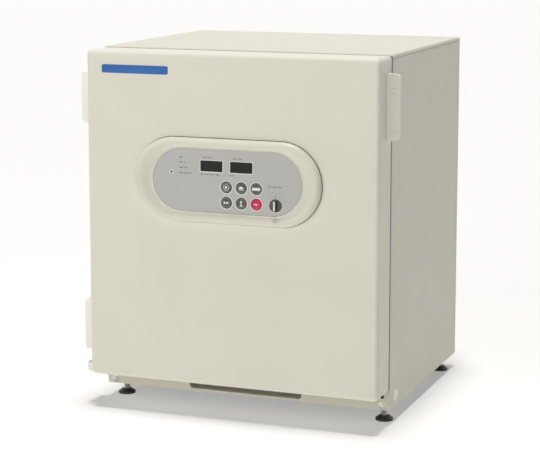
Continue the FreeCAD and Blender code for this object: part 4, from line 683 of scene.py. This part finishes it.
def film_print():
    """Captions as plain strokes, display outlines and key rings on the film."""
    y = film_front
    dark = []
    rows = (35.2, 27.3, 18.9, 10.5)
    lengths = (5, 11, 14, 21)
    for up, length in zip(rows, lengths):
        dark += ticks(panel.x - 78 * MM, panel.z + up * MM, length * MM, 2.0 * MM, y)
    windows = [pair for pair in solids("display_windows") if pair[1].x - pair[0].x > 20 * MM]
    pale = []
    for (low, high), above, below in zip(windows, (13, 16), (34, 8)):
        centre = (low + high) / 2
        half_height = (high.z - low.z) / 2
        dark += ticks(low.x + 6 * MM, centre.z + half_height + 3.2 * MM, above * MM, 1.8 * MM, y)
        dark += ticks(low.x + 1 * MM, centre.z - half_height - 3.0 * MM, below * MM, 1.8 * MM, y)
        pale.append(ink_frame(centre.x, centre.z, high.x - low.x - 0.6 * MM,
                              high.z - low.z - 0.6 * MM, 1.2 * MM, y))
    knob_low, knob_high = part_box("gas_selector_knob")
    knob = (knob_low + knob_high) / 2
    dark += ticks(knob.x - 13 * MM, knob.z + 28.5 * MM, 26 * MM, 1.8 * MM, y)
    for side in (-1, 1):
        dark += ticks(knob.x + (side * 5.5 - 0.5) * MM, knob.z + 20 * MM, 1.6 * MM, 2.4 * MM, y)
    dark.append(ink_bar(knob.x, knob.z + 15.6 * MM, 0.4 * MM, 8.5 * MM, y))
    for number in range(1, 7):
        low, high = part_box(f"button_{number}")
        centre = (low + high) / 2
        pale.append(ink_ring(centre.x, centre.z, 10.7 * MM, 1.1 * MM, y))
    pale.append(ink_ring(knob.x, knob.z, 11.4 * MM, 1.0 * MM, y))
    lamp_low, lamp_high = min(solids("display_windows"), key=lambda pair: pair[0].x)
    lamp = (lamp_low + lamp_high) / 2
    pale.append(ink_ring(lamp.x, lamp.z, 3.2 * MM, 1.2 * MM, y))
    finish(join("film_captions", dark), "outer_door", "overlay_film", finishes["grey_ink"])
    finish(join("film_outlines", pale), "outer_door", "overlay_film", finishes["white_ink"])


def key_caps():
    """Six round keys: a cap with a rolled rim and a dished face, a flange and a stem."""
    first_low, first_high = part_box("button_1")
    radius = 8.8 * MM
    front = first_low.y
    back = first_high.y
    centre = (first_low + first_high) / 2
    flange = film_high.y
    seat = (centre.x, flange, centre.z)
    cap = round_bar("key_cap", radius, seat, (centre.x, front, centre.z), 64)
    pick(cap, "FACE", facing(FRONT))
    bpy.ops.mesh.bevel(offset=0.7 * MM, segments=4, affect="EDGES")
    pick(cap, "FACE", lambda face: facing(FRONT, 0.99)(face) and len(face.verts) > 8)
    bpy.ops.mesh.inset(thickness=1.0 * MM, depth=0)
    bpy.ops.mesh.inset(thickness=0.5 * MM, depth=-0.25 * MM)
    bpy.ops.object.mode_set(mode="OBJECT")
    collar = round_bar("collar", 10.2 * MM, seat, (centre.x, flange + 1 * MM, centre.z))
    stem = round_bar("stem", 3 * MM, seat, (centre.x, back, centre.z), 24)
    model = join("key_model", [cap, collar, stem])
    face = front + 0.25 * MM
    for number in range(1, 7):
        low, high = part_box(f"button_{number}")
        shift = (low + high) / 2 - centre
        slot = "key_red" if number == 6 else "key_grey"
        key = copied(model, f"key_{number}_cap", shift)
        finish(key, f"key_{number}", slot, finishes[slot], f"button_{number}")
        place = centre + shift
        sign = join(f"key_{number}_sign", key_sign(number, place.x, place.z, face))
        finish(sign, f"key_{number}", slot, finishes["white_ink"])
    bpy.data.objects.remove(model)


def key_sign(number, x, z, y):
    """Plain sign on a key: dot in a ring, half disc, band, arrows, bar."""
    signs = {
        1: lambda: [ink_ring(x, z, 4.6 * MM, 0.7 * MM, y), ink_disc(x, z, 2.0 * MM, y)],
        2: lambda: [half_disc(x, z, y), ink_bar(x, z - 2.6 * MM, 8.0 * MM, 1.0 * MM, y)],
        3: lambda: [ink_bar(x, z, 14.2 * MM, 4.4 * MM, y)],
        4: lambda: [arrow(x - 2.6 * MM, z, 0, y), arrow(x + 2.2 * MM, z, 0, y)],
        5: lambda: [arrow(x, z + 2.4 * MM, 90, y), arrow(x, z - 2.6 * MM, 90, y)],
        6: lambda: ticks(x - 3.6 * MM, z, 7.6 * MM, 2.4 * MM, y),
    }
    pieces = signs[number]()
    if number < 6:
        pieces.append(ink_ring(x, z, 7.2 * MM, 0.5 * MM, y))
    return pieces


def arrow(x, z, turn, y):
    """Small filled triangle that points right, or up when turned a quarter."""
    return ink_disc(x, z, 2.9 * MM, y, sides=3, turn=90 - turn)


def half_disc(x, z, y):
    """Upper half of a small disc."""
    piece = begin(bpy.ops.mesh.primitive_circle_add, "half", (x, y, z - 1.2 * MM), turn=(90, 0, 0),
                  vertices=32, radius=4.0 * MM, fill_type="NGON")
    pick(piece, "FACE", lambda face: True)
    bpy.ops.mesh.bisect(plane_co=(x, y, z - 1.2 * MM), plane_no=(0, 0, 1), clear_inner=True)
    bpy.ops.object.mode_set(mode="OBJECT")
    return raise_ink(piece)


def selector_knob():
    """Round selector: plain skirt with a rounded front edge, raised pointer bar with a white line, and
    its shaft.
    """
    low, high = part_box("gas_selector_knob")
    centre = (low + high) / 2
    radius = (high.x - low.x) / 2
    skirt_front = film_front - 2.2 * MM
    skirt = round_bar("skirt", radius, (centre.x, film_front - 0.3 * MM, centre.z),
                      (centre.x, skirt_front, centre.z), 72)
    pick(skirt, "FACE", facing(FRONT))
    bpy.ops.mesh.bevel(offset=0.7 * MM, segments=4, affect="EDGES")
    bpy.ops.object.mode_set(mode="OBJECT")
    bar = block("pointer", (centre.x - 2.6 * MM, low.y + 0.2 * MM, centre.z - radius + 1.4 * MM),
                (centre.x + 2.6 * MM, skirt_front + 0.4 * MM, centre.z + radius - 1.4 * MM))
    pick(bar, "EDGE", runs_back(1 * MM))
    bpy.ops.mesh.bevel(offset=1.5 * MM, segments=5, affect="EDGES")
    bpy.ops.object.mode_set(mode="OBJECT")
    soften(bar, 0.6 * MM)
    shaft = round_bar("shaft", 3 * MM, (centre.x, film_front - 0.4 * MM, centre.z),
                      (centre.x, high.y, centre.z), 32)
    knob = join("selector_knob", [skirt, bar, shaft])
    finish(knob, "gas_selector", "black_plastic", finishes["key_grey"], "gas_selector_knob")
    line = ink_bar(centre.x, centre.z, 2.6 * MM, 2 * radius - 6 * MM, low.y + 0.2 * MM)
    line.name = "selector_line"
    finish(line, "gas_selector", "black_plastic", finishes["white_ink"])


# ---- door ----------------------------------------------------------------------------------
def door_badge():
    """Plain blue plate near the door's upper left corner, with no lettering."""
    left = door_low.x + 27 * MM
    top = door_high.z - 22 * MM
    badge = block("door_badge", (left, door_face - 0.8 * MM, top - 13 * MM),
                  (left + 112 * MM, door_face, top))
    pick(badge, "EDGE", runs_back(0.5 * MM))
    bpy.ops.mesh.bevel(offset=3 * MM, segments=6, affect="EDGES")
    bpy.ops.object.mode_set(mode="OBJECT")
    soften(badge, 0.25 * MM)
    pick(badge, "FACE", facing(FRONT, 0.99))
    bpy.ops.mesh.inset(thickness=1.2 * MM, depth=0)
    bpy.ops.mesh.inset(thickness=0.3 * MM, depth=-0.2 * MM)
    bpy.ops.object.mode_set(mode="OBJECT")
    finish(badge, "outer_door", "door_coat", finishes["blue_ink"])


def handle_grip():
    """Grip with soft edges, three grooves across its wing and a screw near its top."""
    piece = cleaned("door_handle", "handle_grip")
    soften(piece, 0.8 * MM, 4, 25)
    wing_in = Vector((door_high.x + 1.5 * MM, handle_low.y, 0))
    wing_out = Vector((handle_high.x - 0.8 * MM, handle_low.y + 12.5 * MM, 0))
    along = (wing_out - wing_in).normalized()
    outward = Vector((along.y, -along.x, 0))
    centre = (wing_in + wing_out) / 2
    middle_z = (handle_low.z + handle_high.z) / 2
    turn = math.degrees(math.atan2(along.y, along.x))
    for up in (27.5, -37.0, -40.5):
        groove = begin(bpy.ops.mesh.primitive_cube_add, "groove",
                       centre + outward * 0.2 * MM + Vector((0, 0, middle_z + up * MM)),
                       turn=(0, 0, turn), size=1)
        groove.data.transform(groove_stretch(groove, along, outward, 13 * MM, 1.6 * MM, 0.9 * MM))
        cut(piece, groove)
    head_place = centre + Vector((0, 0, middle_z + 21.5 * MM))
    recess_floor = head_place - outward * 1.2 * MM
    cut(piece, round_bar("recess", 1.9 * MM, head_place + outward * 2 * MM, recess_floor, 24))
    finish(piece, "outer_door", "grip_plastic", finishes["grip_plastic"], "door_handle")
    screw = round_bar("handle_screw", 1.6 * MM, head_place - outward * 0.5 * MM, recess_floor, 24)
    soften(screw, 0.3 * MM)
    finish(screw, "outer_door", "screw_steel", finishes["screw_steel"])


def groove_stretch(piece, along, outward, length, depth, width):
    """Matrix that makes a unit cube, already turned, a long thin bar about its own centre."""
    centre = sum((vertex.co for vertex in piece.data.vertices), Vector()) / len(piece.data.vertices)
    basis = Matrix((along, outward, Vector((0, 0, 1)))).transposed().to_4x4()
    size = Matrix.Diagonal((length, depth, width, 1))
    move = Matrix.Translation(centre)
    return move @ basis @ size @ basis.inverted() @ move.inverted()


def hinge_caps():
    """Moulded caps over the hinges: rounded outer ends, chamfered inner ends, open to the cabinet."""
    lower, upper = solids("hinge_covers")
    for name, (low, high), inner_end, outer_end in (("hinge_cap_1", lower, lower[1].z, lower[0].z),
                                                    ("hinge_cap_2", upper, upper[0].z, upper[1].z)):
        cap = block(name, low, high)
        for end, width, segments in ((inner_end, 5 * MM, 1), (outer_end, 5 * MM, 6)):
            pick(cap, "EDGE", lambda edge: abs(middle(edge).x - low.x) < same_plane
                 and abs(middle(edge).z - end) < same_plane)
            bpy.ops.mesh.bevel(offset=width, segments=segments, affect="EDGES")
        pick(cap, "EDGE", lambda edge: all(abs(vertex.co.y - low.y) < same_plane
                                           for vertex in edge.verts)
             and middle(edge).x < high.x - same_plane)
        bpy.ops.mesh.bevel(offset=2.5 * MM, segments=4, affect="EDGES")
        pick(cap, "FACE", lambda face: facing((1, 0, 0), 0.99)(face) or facing((0, 1, 0), 0.99)(face))
        bpy.ops.mesh.delete(type="FACE")
        bpy.ops.object.mode_set(mode="OBJECT")
        alone(cap)
        wall = cap.modifiers.new("wall", "SOLIDIFY")
        wall.thickness = 1.0 * MM
        wall.offset = -1
        bpy.ops.object.modifier_apply(modifier=wall.name)
        nodes = ("hinge_covers",) if name == "hinge_cap_1" else ()
        finish(cap, "outer_door", "grip_plastic", finishes["grip_plastic"], *nodes, angle=50)


def pivot_nose():
    """Cream moulded nose on the pivot plate at the door's lower left corner."""
    low, high = min(solids("hinge_door_leaves"), key=lambda pair: pair[0].z)
    nose = block("pivot_nose", (low.x - 0.3 * MM, low.y - 0.3 * MM, low.z - 0.2 * MM),
                 (door_low.x - 0.1 * MM, low.y + 12 * MM, high.z + 0.3 * MM))
    pick(nose, "EDGE", lambda edge: middle(edge).x < low.x and middle(edge).z < low.z)
    bpy.ops.mesh.bevel(offset=5 * MM, segments=6, affect="EDGES")
    bpy.ops.object.mode_set(mode="OBJECT")
    soften(nose, 1 * MM)
    finish(nose, "outer_door", "grip_plastic", finishes["grip_plastic"])


# ---- cabinet fittings ----------------------------------------------------------------------
def spread(model, name, places):
    """Copies of a small piece modelled at the origin facing the front, turned to each place's normal."""
    pieces = []
    for place, normal in places:
        other = bpy.data.objects.new(name, model.data.copy())
        bpy.context.scene.collection.objects.link(other)
        turn = Vector(FRONT).rotation_difference(Vector(normal)).to_matrix().to_4x4()
        turn.translation = place
        other.data.transform(turn)
        pieces.append(other)
    bpy.data.objects.remove(model)
    return join(name, pieces)


def cabinet_screws():
    """Hex socket bolts on washers, and small domed cross-head screws."""
    bolts, small = [], []
    for low, high in solids("cabinet_screws"):
        size = high - low
        centre = (low + high) / 2
        if size.x > 10 * MM and size.z > 10 * MM:
            bolts.append((Vector((centre.x, low.y + 3.6 * MM, centre.z)), (0, -1, 0)))
        elif size.z > size.x + 0.1 * MM or abs(size.x - size.y) < 0.1 * MM:
            small.append((Vector((centre.x, centre.y, high.z - 1.6 * MM)), (0, 0, 1)))
        elif size.y > size.z + 0.1 * MM:
            small.append((Vector((centre.x, high.y - 1.6 * MM, centre.z)), (0, 1, 0)))
        else:
            side = 1 if centre.x > 0 else -1
            tip = high.x if side > 0 else low.x
            small.append((Vector((tip - side * 1.6 * MM, centre.y, centre.z)), (side, 0, 0)))
    head = spread(bolt_model(), "bracket_bolts", bolts)
    dots = spread(small_screw_model(), "small_screws", small)
    finish(head, "cabinet", "screw_steel", finishes["screw_steel"], "cabinet_screws")
    finish(dots, "cabinet", "screw_steel", finishes["screw_steel"])


def bolt_model():
    """Washer and a cap head with its hexagon socket, facing the front at the origin."""
    ring = round_bar("ring", 6.2 * MM, (0, 0, 0), (0, -1 * MM, 0), 48)
    soften(ring, 0.25 * MM)
    head = round_bar("head", 4.2 * MM, (0, -0.9 * MM, 0), (0, -3.6 * MM, 0), 48)
    pick(head, "FACE", facing(FRONT))
    bpy.ops.mesh.bevel(offset=1.0 * MM, segments=4, affect="EDGES")
    bpy.ops.object.mode_set(mode="OBJECT")
    cut(head, round_bar("socket", 2.0 * MM, (0, -5 * MM, 0), (0, -1.8 * MM, 0), 6))
    shank = round_bar("shank", 2.45 * MM, (0, -0.5 * MM, 0), (0, 3.5 * MM, 0), 24)
    return join("bolt", [ring, head, shank])


def small_screw_model():
    """Domed head with a cross recess, facing the front at the origin."""
    head = round_bar("head", 2.6 * MM, (0, 0, 0), (0, -1.6 * MM, 0), 32)
    pick(head, "FACE", facing(FRONT))
    bpy.ops.mesh.bevel(offset=1.1 * MM, segments=5, affect="EDGES")
    bpy.ops.object.mode_set(mode="OBJECT")
    cut(head, block("slot", (-1.5 * MM, -3 * MM, -0.3 * MM), (1.5 * MM, -0.9 * MM, 0.3 * MM)),
        block("slot", (-0.3 * MM, -3 * MM, -1.5 * MM), (0.3 * MM, -0.9 * MM, 1.5 * MM)))
    shank = round_bar("shank", 1.45 * MM, (0, -0.4 * MM, 0), (0, 3.4 * MM, 0), 16)
    return join("small_screw", [head, shank])


def blanking_plug():
    """Low domed plug with a thin lip, pressed into the side panel."""
    low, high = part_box("side_plug")
    centre = (low + high) / 2
    radius = (high.z - low.z) / 2
    side = high.x - 1.8 * MM
    dome = round_bar("dome", radius, (side, centre.y, centre.z),
                     (side + 0.8 * MM, centre.y, centre.z), 64)
    pick(dome, "FACE", facing((1, 0, 0)))
    for step in range(1, 7):
        angle = math.pi / 2 * step / 6
        before = math.pi / 2 * (step - 1) / 6
        bpy.ops.mesh.inset(thickness=radius * 0.95 * (math.cos(before) - math.cos(angle)) * 0.98,
                           depth=1.0 * MM * (math.sin(angle) - math.sin(before)))
    bpy.ops.object.mode_set(mode="OBJECT")
    stem = round_bar("stem", 7.45 * MM, (side - 3 * MM, centre.y, centre.z),
                     (side + 0.2 * MM, centre.y, centre.z))
    finish(join("blanking_plug", [dome, stem]), "cabinet", "grip_plastic", finishes["grip_plastic"],
           "side_plug", angle=45)


def pocket_shade_lining():
    """Grey sheet on the floor of the long finger pocket: painted shade where the pocket lies in the
    door's shadow.
    """
    low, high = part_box("front_rail")
    middle_z = low.z + 14 * MM
    lining = block("pocket_shade_lining", (-95.1 * MM, high.y - 1.9 * MM, middle_z - 9.8 * MM),
                   (95.1 * MM, high.y - 1.2 * MM, middle_z + 9.8 * MM))
    pick(lining, "EDGE", runs_back(0.5 * MM))
    bpy.ops.mesh.bevel(offset=5.2 * MM, segments=6, affect="EDGES")
    pick(lining, "FACE", facing(FRONT, 0.99))
    bpy.ops.mesh.inset(thickness=2 * MM, depth=0)
    bpy.ops.mesh.inset(thickness=0.3 * MM, depth=-0.3 * MM)
    bpy.ops.object.mode_set(mode="OBJECT")
    finish(lining, "cabinet", "black_plastic", finishes["pocket_shade_grey"])


def gasket_lip_gap_shade():
    """Dark outer lip of the door seal, filling the gap round the door: partly the seal's own dark
    rubber, partly painted shade for the shadow in that gap.
    """
    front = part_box("door_liner")[1].y
    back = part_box("front_frame")[0].y - 0.4 * MM
    inset, width = 0.8 * MM, 4 * MM
    outer = block("gasket_lip_gap_shade", (door_low.x + inset, front, door_low.z + inset),
                  (door_high.x - inset, back, door_high.z - inset))
    pick(outer, "EDGE", runs_back(1 * MM))
    bpy.ops.mesh.bevel(offset=7 * MM, segments=5, affect="EDGES")
    bpy.ops.object.mode_set(mode="OBJECT")
    cut(outer, block("inside", (door_low.x + inset + width, front - 1 * MM, door_low.z + inset + width),
                     (door_high.x - inset - width, back + 1 * MM, door_high.z - inset - width)))
    finish(outer, "outer_door", "gasket_rubber", finishes["gasket_rubber"])


def levelling_feet():
    """Black pad, threaded stem and hexagon lock nut under each corner."""
    for corner in ("front_left", "front_right", "rear_left", "rear_right"):
        node = "foot_" + corner
        body = "leg_" + corner
        low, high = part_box(node)
        x, y = (low.x + high.x) / 2, (low.y + high.y) / 2
        radius = (high.x - low.x) / 2
        pad = round_bar(f"foot_pad_{corner}", radius, (x, y, 0), (x, y, 3.2 * MM), 64)
        pick(pad, "FACE", facing((0, 0, 1)))
        bpy.ops.mesh.inset(thickness=0.8 * MM, depth=0.6 * MM)
        bpy.ops.mesh.inset(thickness=3.6 * MM, depth=2.2 * MM)
        bpy.ops.mesh.inset(thickness=1.2 * MM, depth=1.6 * MM)
        bpy.ops.object.mode_set(mode="OBJECT")
        soften(pad, 0.4 * MM)
        finish(pad, body, "foot_plastic", finishes["foot_plastic"], node)
        stem = round_bar(f"foot_stem_{corner}", 4.4 * MM, (x, y, 7 * MM), (x, y, 8 * MM), 32)
        pick(stem, "FACE", facing((0, 0, 1)))
        pitch = 1.5 * MM
        level = 8 * MM
        while level + pitch < high.z - 1 * MM:
            for scale in (5.0 / 4.4, 4.4 / 5.0):
                bpy.ops.mesh.extrude_region_move(TRANSFORM_OT_translate={"value": (0, 0, pitch / 2)})
                bpy.ops.transform.resize(value=(scale, scale, 1), center_override=(x, y, level))
            level += pitch
        bpy.ops.object.mode_set(mode="OBJECT")
        nut = round_bar("nut", 9.0 * MM, (x, y, 18 * MM), (x, y, 24 * MM), 6)
        soften(nut, 0.6 * MM, 2)
        finish(join(f"foot_stem_{corner}", [stem, nut]), body, "foot_plastic", finishes["zinc_steel"])


# ---- make it -------------------------------------------------------------------------------
make_camera()
finishes.update(make_materials())
make_studio()
coat_cad_nodes()
bezel_surround()
film_print()
key_caps()
selector_knob()
door_badge()
handle_grip()
hinge_caps()
pivot_nose()
cabinet_screws()
blanking_plug()
pocket_shade_lining()
gasket_lip_gap_shade()
levelling_feet()
